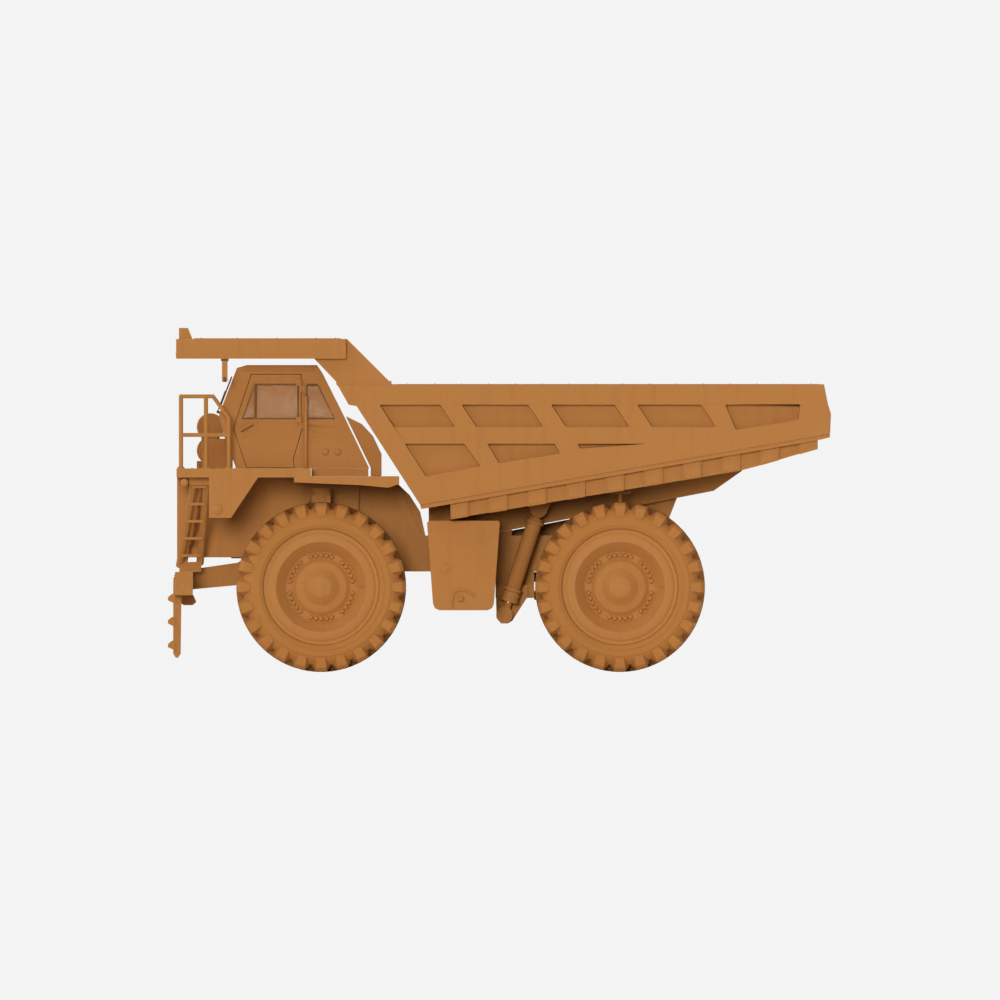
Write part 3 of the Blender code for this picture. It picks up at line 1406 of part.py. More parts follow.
def add_load_body():
    pivot_x, pivot_z = BED_PIVOT
    bed = empty_at("bed_hinge", (pivot_x, 0, pivot_z))
    node("body_floor", build_body_floor(), "body_paint", PAINT, bed)
    node("body_headwall", build_headwall(), "body_paint", PAINT, bed)
    node("body_canopy", build_canopy(), "body_paint", PAINT, bed)
    node("canopy_skirt", build_canopy_skirt(), "body_paint", PAINT, bed)
    for side, name in ((-1, "left"), (1, "right")):
        node(f"body_{name}_side", build_body_side(side), "body_paint", PAINT, bed)
        _, length = hoist_axis()
        swing = empty_at(f"{name}_hoist_hinge", on_hoist(length, side), bed)
        node(f"{name}_hoist_barrel", build_barrel(side), "body_paint", PAINT, swing)
        stage = empty_at(f"{name}_hoist_stage_slide", on_hoist(length, side), swing)
        node(f"{name}_hoist_stage", build_stage(side), "bare_steel", STEEL, stage)
        end = empty_at(f"{name}_hoist_rod_slide", on_hoist(length, side), stage)
        node(f"{name}_hoist_rod", build_hoist_rod(side), "bare_steel", STEEL, end)


def add_wheels():
    for side, name in ((-1, "left"), (1, "right")):
        steer = empty_at(f"{name}_kingpin", (FRONT_AXLE_X, side * KINGPIN_Y, TYRE_RADIUS))
        node(f"{name}_knuckle", build_knuckle(side), "frame_paint", PAINT, steer)
        if side == -1:
            rod_pivot = (FRONT_AXLE_X + STEER_ARM, side * KINGPIN_Y, TIE_ROD_Z)
            track = empty_at("tie_rod_pivot", rod_pivot, steer)
            node("tie_rod", build_tie_rod(), "frame_paint", PAINT, track)
        wheel = empty_at(f"{name}_front_wheel_axis", (FRONT_AXLE_X, side * 2.085, TYRE_RADIUS), steer)
        node(f"{name}_front_rim", front_rim(side), "rim_paint", PAINT, wheel)
        tyre = turned(tyre_profile(FRONT_TYRE_INNER_Y, TYRE_WIDTH), (FRONT_AXLE_X, TYRE_RADIUS), side)
        node(f"{name}_front_tyre", tyre, "tyre_rubber", RUBBER, wheel)
        duals = empty_at(f"{name}_rear_wheel_axis", (REAR_AXLE_X, side * 1.79, TYRE_RADIUS))
        node(f"{name}_rear_rim", rear_rim(side), "rim_paint", PAINT, duals)
        for place, start in (("inner", DUAL_INNER_TYRE_Y), ("outer", DUAL_OUTER_TYRE_Y)):
            tyre = turned(tyre_profile(start, DUAL_TYRE_WIDTH), (REAR_AXLE_X, TYRE_RADIUS), side)
            node(f"{name}_rear_{place}_tyre", tyre, "tyre_rubber", RUBBER, duals)


def main():
    clear_scene()
    add_fixed_nodes()
    add_cab()
    add_load_body()
    add_wheels()


main()
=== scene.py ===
"""Finishes the mining dump truck: materials, tread, bolts, trim, glazing, seat, light and camera.

Lengths are in metres in the truck's own frame: -X is the way it drives, -Y its cab side, +Z is up and the
ground lies at Z 0.
"""

import json
import logging
from dataclasses import dataclass, field
from enum import Enum
from math import cos, pi, radians, sin

import bmesh
import bpy
from mathutils import Matrix, Vector

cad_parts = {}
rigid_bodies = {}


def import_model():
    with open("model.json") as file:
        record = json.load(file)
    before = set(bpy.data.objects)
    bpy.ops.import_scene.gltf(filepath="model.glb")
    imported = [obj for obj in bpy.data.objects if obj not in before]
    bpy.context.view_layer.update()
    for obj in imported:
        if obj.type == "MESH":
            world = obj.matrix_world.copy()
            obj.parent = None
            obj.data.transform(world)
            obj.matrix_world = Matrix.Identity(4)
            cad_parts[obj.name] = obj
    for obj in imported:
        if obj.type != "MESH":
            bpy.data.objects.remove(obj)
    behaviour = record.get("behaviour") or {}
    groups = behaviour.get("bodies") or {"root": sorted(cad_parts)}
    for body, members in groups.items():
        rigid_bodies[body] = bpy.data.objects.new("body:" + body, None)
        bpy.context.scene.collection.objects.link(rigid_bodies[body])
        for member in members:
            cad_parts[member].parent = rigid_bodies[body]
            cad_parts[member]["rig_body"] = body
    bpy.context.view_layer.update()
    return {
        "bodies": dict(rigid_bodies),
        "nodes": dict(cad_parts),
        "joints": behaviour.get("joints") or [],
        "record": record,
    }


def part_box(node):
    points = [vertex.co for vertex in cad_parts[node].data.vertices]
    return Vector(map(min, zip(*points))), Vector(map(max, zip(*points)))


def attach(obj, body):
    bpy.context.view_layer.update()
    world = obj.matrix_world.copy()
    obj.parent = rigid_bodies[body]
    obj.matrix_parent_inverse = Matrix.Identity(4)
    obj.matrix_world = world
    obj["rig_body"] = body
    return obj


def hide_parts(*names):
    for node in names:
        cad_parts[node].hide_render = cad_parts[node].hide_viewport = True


LOG = logging.getLogger("truck")
Point = tuple[float, float, float]
Flat = tuple[float, float]
Colour = tuple[float, float, float]
SHARP_TURN = 28
FLAT_TURN = 6


class Side(Enum):
    """The two sides of the truck, by the sign of Y."""

    LEFT = -1
    RIGHT = 1

    @property
    def word(self) -> str:
        """The side's name in node and body names."""
        return self.name.lower()


class Axis(Enum):
    """The direction an outline is pulled along: the places of its two coordinates and of its depth."""

    X = (1, 2, 0)
    Y = (0, 2, 1)
    Z = (0, 1, 2)


# Shared shader effects


def new_group(name: str, inputs: dict[str, float], outputs: dict[str, str]) -> bpy.types.NodeTree:
    """Makes an empty shader node group.

    Args:
        name: The group's name.
        inputs: Each input's name and default value.
        outputs: Each output's name and socket type.

    Returns:
        The group, with its input and output nodes in place.
    """
    tree = bpy.data.node_groups.new(name, "ShaderNodeTree")
    for label, value in inputs.items():
        socket = tree.interface.new_socket(label, in_out="INPUT", socket_type="NodeSocketFloat")
        socket.default_value = value
    for label, kind in outputs.items():
        tree.interface.new_socket(label, in_out="OUTPUT", socket_type=kind)
    tree.nodes.new("NodeGroupInput")
    tree.nodes.new("NodeGroupOutput")
    return tree


def ends_of(tree: bpy.types.NodeTree) -> tuple[bpy.types.Node, bpy.types.Node]:
    """The group's input and output nodes."""
    return tree.nodes["Group Input"], tree.nodes["Group Output"]


def noise(
    tree: bpy.types.NodeTree, scale: float, detail: float, stretch: Point = (1, 1, 1)
) -> bpy.types.Node:
    """Adds a noise texture read in the piece's own coordinates.

    Args:
        tree: The node tree to add to.
        scale: The noise's scale, in features to the metre.
        detail: Octaves of detail.
        stretch: A factor for each axis, to draw the noise out into streaks.

    Returns:
        The noise node, with a free Scale input already set.
    """
    place = tree.nodes.new("ShaderNodeTexCoord")
    mapping = tree.nodes.new("ShaderNodeMapping")
    mapping.inputs["Scale"].default_value = stretch
    texture = tree.nodes.new("ShaderNodeTexNoise")
    texture.inputs["Scale"].default_value = scale
    texture.inputs["Detail"].default_value = detail
    tree.links.new(place.outputs["Object"], mapping.inputs["Vector"])
    tree.links.new(mapping.outputs["Vector"], texture.inputs["Vector"])
    return texture


def calc(
    tree: bpy.types.NodeTree, operation: str, first: object, second: object, clamp: bool = False
) -> object:
    """Adds a math node.

    Args:
        tree: The node tree to add to.
        operation: The math node's operation.
        first: A socket or a number.
        second: A socket or a number.
        clamp: Whether the result is held between 0 and 1.

    Returns:
        The result's output socket.
    """
    node = tree.nodes.new("ShaderNodeMath")
    node.operation = operation
    node.use_clamp = clamp
    for socket, value in zip(node.inputs, (first, second)):
        if isinstance(value, bpy.types.NodeSocket):
            tree.links.new(value, socket)
        else:
            socket.default_value = value
    return node.outputs[0]


def spread(tree: bpy.types.NodeTree, value: object, low: float, high: float) -> object:
    """Maps low..high of a value to 0..1, held at both ends, and returns the output socket."""
    node = tree.nodes.new("ShaderNodeMapRange")
    node.inputs["From Min"].default_value = low
    node.inputs["From Max"].default_value = high
    tree.links.new(value, node.inputs["Value"])
    return node.outputs["Result"]


def dust_group() -> bpy.types.NodeTree:
    """The mask of settled dust: patches everywhere, more near the ground and on what faces up."""
    found = bpy.data.node_groups.get("settled dust")
    if found:
        return found
    tree = new_group("settled dust", {"Amount": 0.5, "Ground Share": 0.5}, {"Mask": "NodeSocketFloat"})
    given, result = ends_of(tree)
    patches = spread(tree, noise(tree, 1.3, 6).outputs["Fac"], 0.40, 0.66)
    fine = spread(tree, noise(tree, 22, 4).outputs["Fac"], 0.30, 0.75)
    mottled = calc(tree, "MULTIPLY", patches, fine)
    place = tree.nodes.new("ShaderNodeTexCoord")
    split = tree.nodes.new("ShaderNodeSeparateXYZ")
    tree.links.new(place.outputs["Object"], split.inputs[0])
    low = calc(tree, "MULTIPLY", spread(tree, split.outputs["Z"], 3.0, 0.3), given.outputs["Ground Share"])
    shape = tree.nodes.new("ShaderNodeNewGeometry")
    facing = tree.nodes.new("ShaderNodeSeparateXYZ")
    tree.links.new(shape.outputs["Normal"], facing.inputs[0])
    upward = calc(tree, "MULTIPLY", spread(tree, facing.outputs["Z"], 0.5, 1.0), 0.5)
    total = calc(tree, "ADD", calc(tree, "ADD", mottled, calc(tree, "MULTIPLY", low, fine)), upward)
    tree.links.new(calc(tree, "MULTIPLY", total, given.outputs["Amount"], True), result.inputs["Mask"])
    return tree


def edge_group() -> bpy.types.NodeTree:
    """The mask of worn edges: where the surface turns sharply, broken up by noise."""
    found = bpy.data.node_groups.get("worn edges")
    if found:
        return found
    tree = new_group("worn edges", {"Amount": 0.6}, {"Mask": "NodeSocketFloat"})
    given, result = ends_of(tree)
    rounded = tree.nodes.new("ShaderNodeBevel")
    rounded.samples = 4
    rounded.inputs["Radius"].default_value = 0.022
    shape = tree.nodes.new("ShaderNodeNewGeometry")
    turn = tree.nodes.new("ShaderNodeVectorMath")
    turn.operation = "DOT_PRODUCT"
    tree.links.new(rounded.outputs["Normal"], turn.inputs[0])
    tree.links.new(shape.outputs["Normal"], turn.inputs[1])
    sharp = spread(tree, turn.outputs["Value"], 0.985, 0.86)
    broken = spread(tree, noise(tree, 9, 5).outputs["Fac"], 0.28, 0.62)
    mask = calc(tree, "MULTIPLY", calc(tree, "MULTIPLY", sharp, broken), given.outputs["Amount"], True)
    tree.links.new(mask, result.inputs["Mask"])
    return tree


def grain_group() -> bpy.types.NodeTree:
    """Fine surface grain: a height for a bump and a value that varies about zero for roughness."""
    found = bpy.data.node_groups.get("fine grain")
    if found:
        return found
    outputs = {"Height": "NodeSocketFloat", "Variation": "NodeSocketFloat"}
    tree = new_group("fine grain", {"Scale": 60.0}, outputs)
    given, result = ends_of(tree)
    small = noise(tree, 60, 3)
    tree.links.new(given.outputs["Scale"], small.inputs["Scale"])
    large = noise(tree, 5, 4)
    tree.links.new(small.outputs["Fac"], result.inputs["Height"])
    tree.links.new(calc(tree, "SUBTRACT", large.outputs["Fac"], 0.5), result.inputs["Variation"])
    return tree


def streak_group() -> bpy.types.NodeTree:
    """The mask of run-down streaks on upright faces."""
    found = bpy.data.node_groups.get("rain streaks")
    if found:
        return found
    tree = new_group("rain streaks", {"Amount": 0.4}, {"Mask": "NodeSocketFloat"})
    given, result = ends_of(tree)
    lines = noise(tree, 5.0, 5, (1.6, 1.6, 0.12))
    drawn = spread(tree, lines.outputs["Fac"], 0.52, 0.74)
    mask = calc(tree, "MULTIPLY", drawn, given.outputs["Amount"], True)
    tree.links.new(mask, result.inputs["Mask"])
    return tree


def weave_group() -> bpy.types.NodeTree:
    """A plain weave's height, from two crossed waves."""
    found = bpy.data.node_groups.get("plain weave")
    if found:
        return found
    tree = new_group("plain weave", {"Scale": 90.0}, {"Height": "NodeSocketFloat"})
    given, result = ends_of(tree)
    place = tree.nodes.new("ShaderNodeTexCoord")
    heights = []
    for direction in ("Y", "Z"):
        wave = tree.nodes.new("ShaderNodeTexWave")
        wave.bands_direction = direction
        tree.links.new(place.outputs["Object"], wave.inputs["Vector"])
        tree.links.new(given.outputs["Scale"], wave.inputs["Scale"])
        heights.append(wave.outputs["Fac"])
    tree.links.new(calc(tree, "MAXIMUM", *heights), result.inputs["Height"])
    return tree


# Finishes


class MaterialKit:
    """Lays nodes into one material, starting from its Principled shader."""

    def __init__(self, name: str, roughness: float, metallic: float) -> None:
        """Starts a material with plain roughness and metallic values."""
        self.material = bpy.data.materials.new(name)
        self.material.use_nodes = True
        self.tree = self.material.node_tree
        self.shader = self.tree.nodes["Principled BSDF"]
        self.shader.inputs["Roughness"].default_value = roughness
        self.shader.inputs["Metallic"].default_value = metallic

    def group(self, made: bpy.types.NodeTree, **values: float) -> bpy.types.Node:
        """Places a shared group with its own values; an underscore in a name stands for a space."""
        node = self.tree.nodes.new("ShaderNodeGroup")
        node.node_tree = made
        for label, value in values.items():
            node.inputs[label.replace("_", " ")].default_value = value
        return node

    def mix(self, mask: object, base: object, over: Colour) -> object:
        """Mixes a colour over a base colour or socket by a mask, and returns the output socket."""
        node = self.tree.nodes.new("ShaderNodeMix")
        node.data_type = "RGBA"
        if isinstance(base, bpy.types.NodeSocket):
            self.tree.links.new(base, node.inputs["A"])
        else:
            node.inputs["A"].default_value = (*base, 1)
        node.inputs["B"].default_value = (*over, 1)
        self.tree.links.new(mask, node.inputs["Factor"])
        return node.outputs["Result"]

    def colour(self, socket: object) -> None:
        """Feeds the base colour."""
        self.tree.links.new(socket, self.shader.inputs["Base Color"])

    def roughen(self, plain: float, variation: object, reach: float, dust: object | None = None) -> None:
        """Feeds the roughness: a plain value, a variation about it, and more where dust lies."""
        value = calc(self.tree, "MULTIPLY_ADD", variation, reach)
        value.node.inputs[2].default_value = plain
        if dust is not None:
            value = calc(self.tree, "ADD", value, calc(self.tree, "MULTIPLY", dust, 0.25))
        value.node.use_clamp = True
        self.tree.links.new(value, self.shader.inputs["Roughness"])

    def bump(self, height: object, distance: float, strength: float = 1.0) -> None:
        """Feeds the normal with a bump of a height socket."""
        node = self.tree.nodes.new("ShaderNodeBump")
        node.inputs["Distance"].default_value = distance
        node.inputs["Strength"].default_value = strength
        self.tree.links.new(height, node.inputs["Height"])
        self.tree.links.new(node.outputs["Normal"], self.shader.inputs["Normal"])


@dataclass(frozen=True)
class PaintFinish:
    """Sprayed enamel on plate, with dust, streaks and edges worn to a lighter tone."""

    name: str
    paint: Colour
    dust: Colour = (0.425, 0.185, 0.050)
    worn: Colour = (0.52, 0.235, 0.066)
    grime: Colour = (0.27, 0.110, 0.026)
    roughness: float = 0.70
    dust_amount: float = 0.35
    wear_amount: float = 0.55
    grain: float = 70.0

    def make(self) -> bpy.types.Material:
        """Builds the material."""
        kit = MaterialKit(self.name, self.roughness, 0.0)
        grain = kit.group(grain_group(), Scale=self.grain)
        dust = kit.group(dust_group(), Amount=self.dust_amount, Ground_Share=0.6)
        streaks = kit.group(streak_group(), Amount=0.22)
        edges = kit.group(edge_group(), Amount=self.wear_amount)
        tone = kit.mix(streaks.outputs["Mask"], self.paint, self.grime)
        tone = kit.mix(dust.outputs["Mask"], tone, self.dust)
        tone = kit.mix(edges.outputs["Mask"], tone, self.worn)
        kit.colour(tone)
        kit.roughen(self.roughness, grain.outputs["Variation"], 0.30, dust.outputs["Mask"])
        kit.bump(grain.outputs["Height"], 0.0012)
        kit.shader.inputs["Specular IOR Level"].default_value = 0.18
        return kit.material


@dataclass(frozen=True)
class RubberFinish:
    """Tyre or seal rubber, dusted in its low places."""

    name: str
    rubber: Colour
    dust: Colour = (0.44, 0.190, 0.050)
    dust_amount: float = 0.45
    roughness: float = 0.82
    grain: float = 45.0

    def make(self) -> bpy.types.Material:
        """Builds the material."""
        kit = MaterialKit(self.name, self.roughness, 0.0)
        grain = kit.group(grain_group(), Scale=self.grain)
        dust = kit.group(dust_group(), Amount=self.dust_amount, Ground_Share=0.35)
        edges = kit.group(edge_group(), Amount=0.35)
        tone = kit.mix(dust.outputs["Mask"], self.rubber, self.dust)
        kit.colour(kit.mix(edges.outputs["Mask"], tone, self.dust))
        kit.roughen(self.roughness, grain.outputs["Variation"], 0.25)
        kit.bump(grain.outputs["Height"], 0.003)
        kit.shader.inputs["Specular IOR Level"].default_value = 0.15
        return kit.material


@dataclass(frozen=True)
class MetalFinish:
    """Bare or plated metal with a fine drawn grain and a film of dust."""

    name: str
    metal: Colour
    roughness: float = 0.42
    dust_amount: float = 0.45
    metallic: float = 0.55

    def make(self) -> bpy.types.Material:
        """Builds the material."""
        kit = MaterialKit(self.name, self.roughness, self.metallic)
        grain = kit.group(grain_group(), Scale=120.0)
        dust = kit.group(dust_group(), Amount=self.dust_amount, Ground_Share=0.3)
        kit.colour(kit.mix(dust.outputs["Mask"], self.metal, (0.42, 0.180, 0.050)))
        kit.roughen(self.roughness, grain.outputs["Variation"], 0.35, dust.outputs["Mask"])
        kit.bump(grain.outputs["Height"], 0.0006)
        return kit.material


@dataclass(frozen=True)
class GlassFinish:
    """Tinted glazing: it shows a little of the inside and has a dusty film."""

    name: str
    tint: Colour
    alpha: float = 0.9

    def make(self) -> bpy.types.Material:
        """Builds the material."""
        kit = MaterialKit(self.name, 0.08, 0.0)
        grain = kit.group(grain_group(), Scale=4.0)
        dust = kit.group(dust_group(), Amount=0.35, Ground_Share=0.0)
        kit.colour(kit.mix(dust.outputs["Mask"], self.tint, (0.40, 0.19, 0.06)))
        kit.roughen(0.08, grain.outputs["Variation"], 0.10, dust.outputs["Mask"])
        kit.shader.inputs["Alpha"].default_value = self.alpha
        kit.shader.inputs["IOR"].default_value = 1.5
        kit.shader.inputs["Specular IOR Level"].default_value = 0.3
        return kit.material


@dataclass(frozen=True)
class ClothFinish:
    """Woven seat cloth with a soft sheen; its raised threads are painted lighter, a painted highlight."""

    name: str
    thread: Colour

    def make(self) -> bpy.types.Material:
        """Builds the material."""
        kit = MaterialKit(self.name, 0.9, 0.0)
        weave = kit.group(weave_group(), Scale=90.0)
        grain = kit.group(grain_group(), Scale=30.0)
        # Painted highlight: the raised threads of the weave get a lighter copy of the thread colour.
        lighter = tuple(channel * 1.6 for channel in self.thread)
        kit.colour(kit.mix(weave.outputs["Height"], self.thread, lighter))
        kit.roughen(0.9, grain.outputs["Variation"], 0.15)
        kit.bump(weave.outputs["Height"], 0.002)
        kit.shader.inputs["Sheen Weight"].default_value = 0.3
        return kit.material


@dataclass(frozen=True)
class LensFinish:
    """Ribbed lamp lens; the crests of its ribs are painted lighter, a painted highlight."""

    name: str
    tint: Colour

    def make(self) -> bpy.types.Material:
        """Builds the material."""
        kit = MaterialKit(self.name, 0.15, 0.0)
        weave = kit.group(weave_group(), Scale=24.0)
        # Painted highlight: the crests of the ribs get a lighter copy of the tint.
        kit.colour(kit.mix(weave.outputs["Height"], self.tint, (0.75, 0.45, 0.17)))
        kit.bump(weave.outputs["Height"], 0.004)
        kit.shader.inputs["Coat Weight"].default_value = 0.5
        return kit.material


@dataclass
class Palette:
    """Every material of the truck, made once."""

    body: bpy.types.Material = field(init=False)
    frame: bpy.types.Material = field(init=False)
    rim: bpy.types.Material = field(init=False)
    engine: bpy.types.Material = field(init=False)
    plastic: bpy.types.Material = field(init=False)
    tyre: bpy.types.Material = field(init=False)
    seal: bpy.types.Material = field(init=False)
    steel: bpy.types.Material = field(init=False)
    chrome: bpy.types.Material = field(init=False)
    glass: bpy.types.Material = field(init=False)
    cloth: bpy.types.Material = field(init=False)
    lens: bpy.types.Material = field(init=False)

    def __post_init__(self) -> None:
        """Makes the materials."""
        self.body = PaintFinish("body enamel", (0.392, 0.158, 0.0365)).make()
        frame_paint = (0.365, 0.147, 0.034)
        self.frame = PaintFinish("frame enamel", frame_paint, dust_amount=0.5, wear_amount=0.4).make()
        self.rim = PaintFinish("rim enamel", (0.400, 0.161, 0.0372), roughness=0.62, dust_amount=0.4).make()
        self.engine = PaintFinish("engine enamel", (0.20, 0.082, 0.021), dust_amount=0.5).make()
        plastic = (0.17, 0.070, 0.020)
        self.plastic = PaintFinish("moulded plastic", plastic, wear_amount=0.1, dust_amount=0.2).make()
        self.tyre = RubberFinish("tyre rubber", (0.375, 0.150, 0.0345)).make()
        self.seal = RubberFinish("seal rubber", (0.135, 0.055, 0.014), dust_amount=0.3, grain=120.0).make()
        self.steel = MetalFinish("warm steel", (0.46, 0.200, 0.055), roughness=0.58).make()
        plating = (0.55, 0.27, 0.085)
        self.chrome = MetalFinish("rod chrome", plating, roughness=0.25, dust_amount=0.2, metallic=0.8).make()
        self.glass = GlassFinish("amber glass", (0.37, 0.150, 0.036)).make()
        self.cloth = ClothFinish("seat cloth", (0.12, 0.052, 0.017)).make()
        self.lens = LensFinish("lamp lens", (0.52, 0.26, 0.085)).make()


# Mesh making


class Shape:
    """Gathers blocks, prisms, turned forms, tubes and bolts into one mesh."""

    def __init__(self) -> None:
        """Starts empty."""
        self.mesh = bmesh.new()

    def take(self, part: bmesh.types.BMesh, matrix: Matrix | None = None) -> None:
        """Takes in another bmesh, moved by a matrix, with its faces turned outwards."""
        bmesh.ops.recalc_face_normals(part, faces=part.faces)
        if matrix is not None:
            part.transform(matrix)
        held = bpy.data.meshes.new("part")
        part.to_mesh(held)
        part.free()
        self.mesh.from_mesh(held)
        bpy.data.meshes.remove(held)

    def prism(
        self, outline: list[Flat], axis: Axis, low: float, high: float, chamfer: float = 0.0
    ) -> "Shape":
        """Adds an outline pulled along an axis.

        Args:
            outline: The corners, in the order of the axis's two other coordinates.
            axis: The direction of the pull.
            low: Where the pull starts.
            high: Where it ends.
            chamfer: The width of the bevel on its edges.

        Returns:
            This shape.
        """
        first, second, depth = axis.value
        part = bmesh.new()
        rings = []
        for level in (low, high):
            ring = []
            for a, b in outline:
                place = [0.0, 0.0, 0.0]
                place[first], place[second], place[depth] = a, b, level
                ring.append(part.verts.new(place))
            rings.append(ring)
        part.faces.new(rings[0])
        part.faces.new(rings[1])
        count = len(outline)
        for index in range(count):
            after = (index + 1) % count
            part.faces.new([rings[0][index], rings[0][after], rings[1][after], rings[1][index]])
        if chamfer:
            bmesh.ops.bevel(
                part,
                geom=part.edges,
                offset=chamfer,
                segments=1,
                profile=0.5,
                affect="EDGES",
                clamp_overlap=True,
            )
        self.take(part)
        return self

    def block(self, x: Flat, y: Flat, z: Flat, chamfer: float = 0.004) -> "Shape":
        """Adds a box between two values on each axis, with its edges bevelled."""
        (x0, x1), (y0, y1) = sorted(x), sorted(y)
        return self.prism([(x0, y0), (x1, y0), (x1, y1), (x0, y1)], Axis.Z, min(z), max(z), chamfer)

    def turned(
        self, profile: list[Flat], start: Point, end: Point, sides: int = 24, closed: bool = False
    ) -> "Shape":
        """Adds a profile turned about the line from start to end.

        Args:
            profile: Points of (radius, distance from start), from one end to the other.
            start: Where the line starts.
            end: A point that the line heads for.
            sides: Facets round it.
            closed: Whether the profile is a closed section, as of a ring with a hole through it.

        Returns:
            This shape.
        """
        part = bmesh.new()
        rings = []
        for radius, height in profile:
            ring = []
            for step in range(sides):
                turn = 2 * pi * step / sides
                ring.append(part.verts.new((radius * cos(turn), radius * sin(turn), height)))
            rings.append(ring)
        following_rings = rings[1:] + rings[:1] if closed else rings[1:]
        for ring, following in zip(rings, following_rings):
            for step in range(sides):
                after = (step + 1) % sides
                part.faces.new([ring[step], ring[after], following[after], following[step]])
        if not closed:
            part.faces.new(rings[0])
            part.faces.new(rings[-1])
        bmesh.ops.remove_doubles(part, verts=part.verts, dist=1e-5)
        along = Vector(end) - Vector(start)
        turn = along.to_track_quat("Z", "Y").to_matrix().to_4x4()
        self.take(part, Matrix.Translation(Vector(start)) @ turn)
        return self

    def bar(self, start: Point, end: Point, radius: float, sides: int = 16) -> "Shape":
        """Adds a round bar with softened ends between two points."""
        length = (Vector(end) - Vector(start)).length
        soft = min(radius, length) * 0.15
        profile = [(radius - soft, 0), (radius, soft), (radius, length - soft), (radius - soft, length)]
        return self.turned(profile, start, end, sides)

    def tube(self, route: list[Point], radius: float, sides: int = 12) -> "Shape":
        """Adds a tube along a route of points, mitred at each, with flat ends."""
        part = bmesh.new()
        points = [Vector(point) for point in route]
        rings = []
        across = None
        for index, point in enumerate(points):
            before = points[max(index - 1, 0)]
            after = points[min(index + 1, len(points) - 1)]
            along = (after - before).normalized()
            if across is None:
                across = along.orthogonal().normalized()
            across = (across - along * across.dot(along)).normalized()
            other = along.cross(across)
            ring = []
            for step in range(sides):
                turn = 2 * pi * step / sides
                ring.append(part.verts.new(point + (across * cos(turn) + other * sin(turn)) * radius))
            rings.append(ring)
        for ring, following in zip(rings, rings[1:]):
            for step in range(sides):
                after_step = (step + 1) % sides
                part.faces.new([ring[step], ring[after_step], following[after_step], following[step]])
        part.faces.new(rings[0])
        part.faces.new(rings[-1])
        self.take(part)
        return self

    def bolt(self, place: Point, outward: Point, size: float) -> "Shape":
        """Adds a hexagon bolt head on a washer at a place, standing along outward."""
        start = Vector(place)
        tip = tuple(start + Vector(outward))
        washer = [(size * 1.25, 0), (size * 1.25, size * 0.18), (size * 0.4, size * 0.18)]
        head = [(size, size * 0.15), (size, size * 0.75), (size * 0.8, size * 0.9), (size * 0.3, size * 0.9)]
        self.turned(washer, place, tip, 12)
        return self.turned(head, place, tip, 6)

    def done(
        self, name: str, material: bpy.types.Material, body: str, slot: str, smooth: float = 32.0
    ) -> bpy.types.Object:
        """Ends the shape as a piece of the truck.

        Args:
            name: The piece's name.
            material: Its finish.
            body: The body that it rides on.
            slot: The record's material slot; not used.
            smooth: Edges sharper than this many degrees stay crisp.

        Returns:
            The new object.
        """
        data = bpy.data.meshes.new(name)
        self.mesh.to_mesh(data)
        self.mesh.free()
        data.materials.append(material)
        data.shade_smooth()
        data.set_sharp_from_angle(angle=radians(smooth))
        piece = bpy.data.objects.new(name, data)
        bpy.context.scene.collection.objects.link(piece)
        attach(piece, body)
        LOG.info("made %s, %d faces, on %s", name, len(data.polygons), body)
        return piece


def add_bevel(piece: bpy.types.Object, width: float, segments: int = 2) -> None:
    """Adds a bevel that softens the sharp edges of a piece."""
    bevel = piece.modifiers.new("edge bevel", "BEVEL")
    bevel.width = width
    bevel.segments = segments
    bevel.limit_method = "ANGLE"
    bevel.angle_limit = radians(SHARP_TURN)
    bevel.harden_normals = True
    bevel.miter_outer = "MITER_ARC"


def dress(frame: dict, node: str, material: bpy.types.Material) -> None:
    """Gives a fixed node its finish.

    Args:
        frame: The loaded truck.
        node: The node's name.
        material: Its finish.
    """
    piece = frame["nodes"][node]
    for held in piece.material_slots:
        held.material = material
    if not piece.material_slots:
        piece.data.materials.append(material)
    LOG.info("dressed %s with %s", node, material.name)


def dome(radius: float, height: float, steps: int = 6) -> list[Flat]:
    """A domed plug's profile as (radius, height), from its foot to its crown."""
    turns = [pi / 2 * step / steps for step in range(steps)]
    return [(radius * cos(turn), height * sin(turn)) for turn in turns] + [(radius * 0.04, height)]




def refined(
    frame: dict,
    node: str,
    material: bpy.types.Material,
    width: float,
    segments: int = 2,
    whole: bool = True,
) -> bpy.types.Object:
    """Makes a piece that stands for a node: the same form with whole faces and softened edges.

    Args:
        frame: The loaded truck.
        node: The node's name.
        material: The finish.
        width: The bevel's width.
        segments: The bevel's steps.
        whole: Whether flat neighbouring facets are joined into one face.

    Returns:
        The new object.
    """
    source = frame["nodes"][node]
    part = bmesh.new()
    part.from_mesh(source.data)
    bmesh.ops.remove_doubles(part, verts=part.verts, dist=0.0001)
    if whole:
        bmesh.ops.dissolve_limit(part, angle_limit=radians(0.6), verts=part.verts, edges=part.edges)
    bmesh.ops.recalc_face_normals(part, faces=part.faces)
    data = bpy.data.meshes.new(f"{node}_plates")
    part.to_mesh(data)
    part.free()
    data.materials.append(material)
    data.shade_smooth()
    data.set_sharp_from_angle(angle=radians(SHARP_TURN if whole else FLAT_TURN))
    piece = bpy.data.objects.new(f"{node}_plates", data)
    bpy.context.scene.collection.objects.link(piece)
    if width:
        add_bevel(piece, width, segments)
    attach(piece, source["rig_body"])
    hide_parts(node)
    LOG.info("refined %s", node)
    return piece


# Wheels


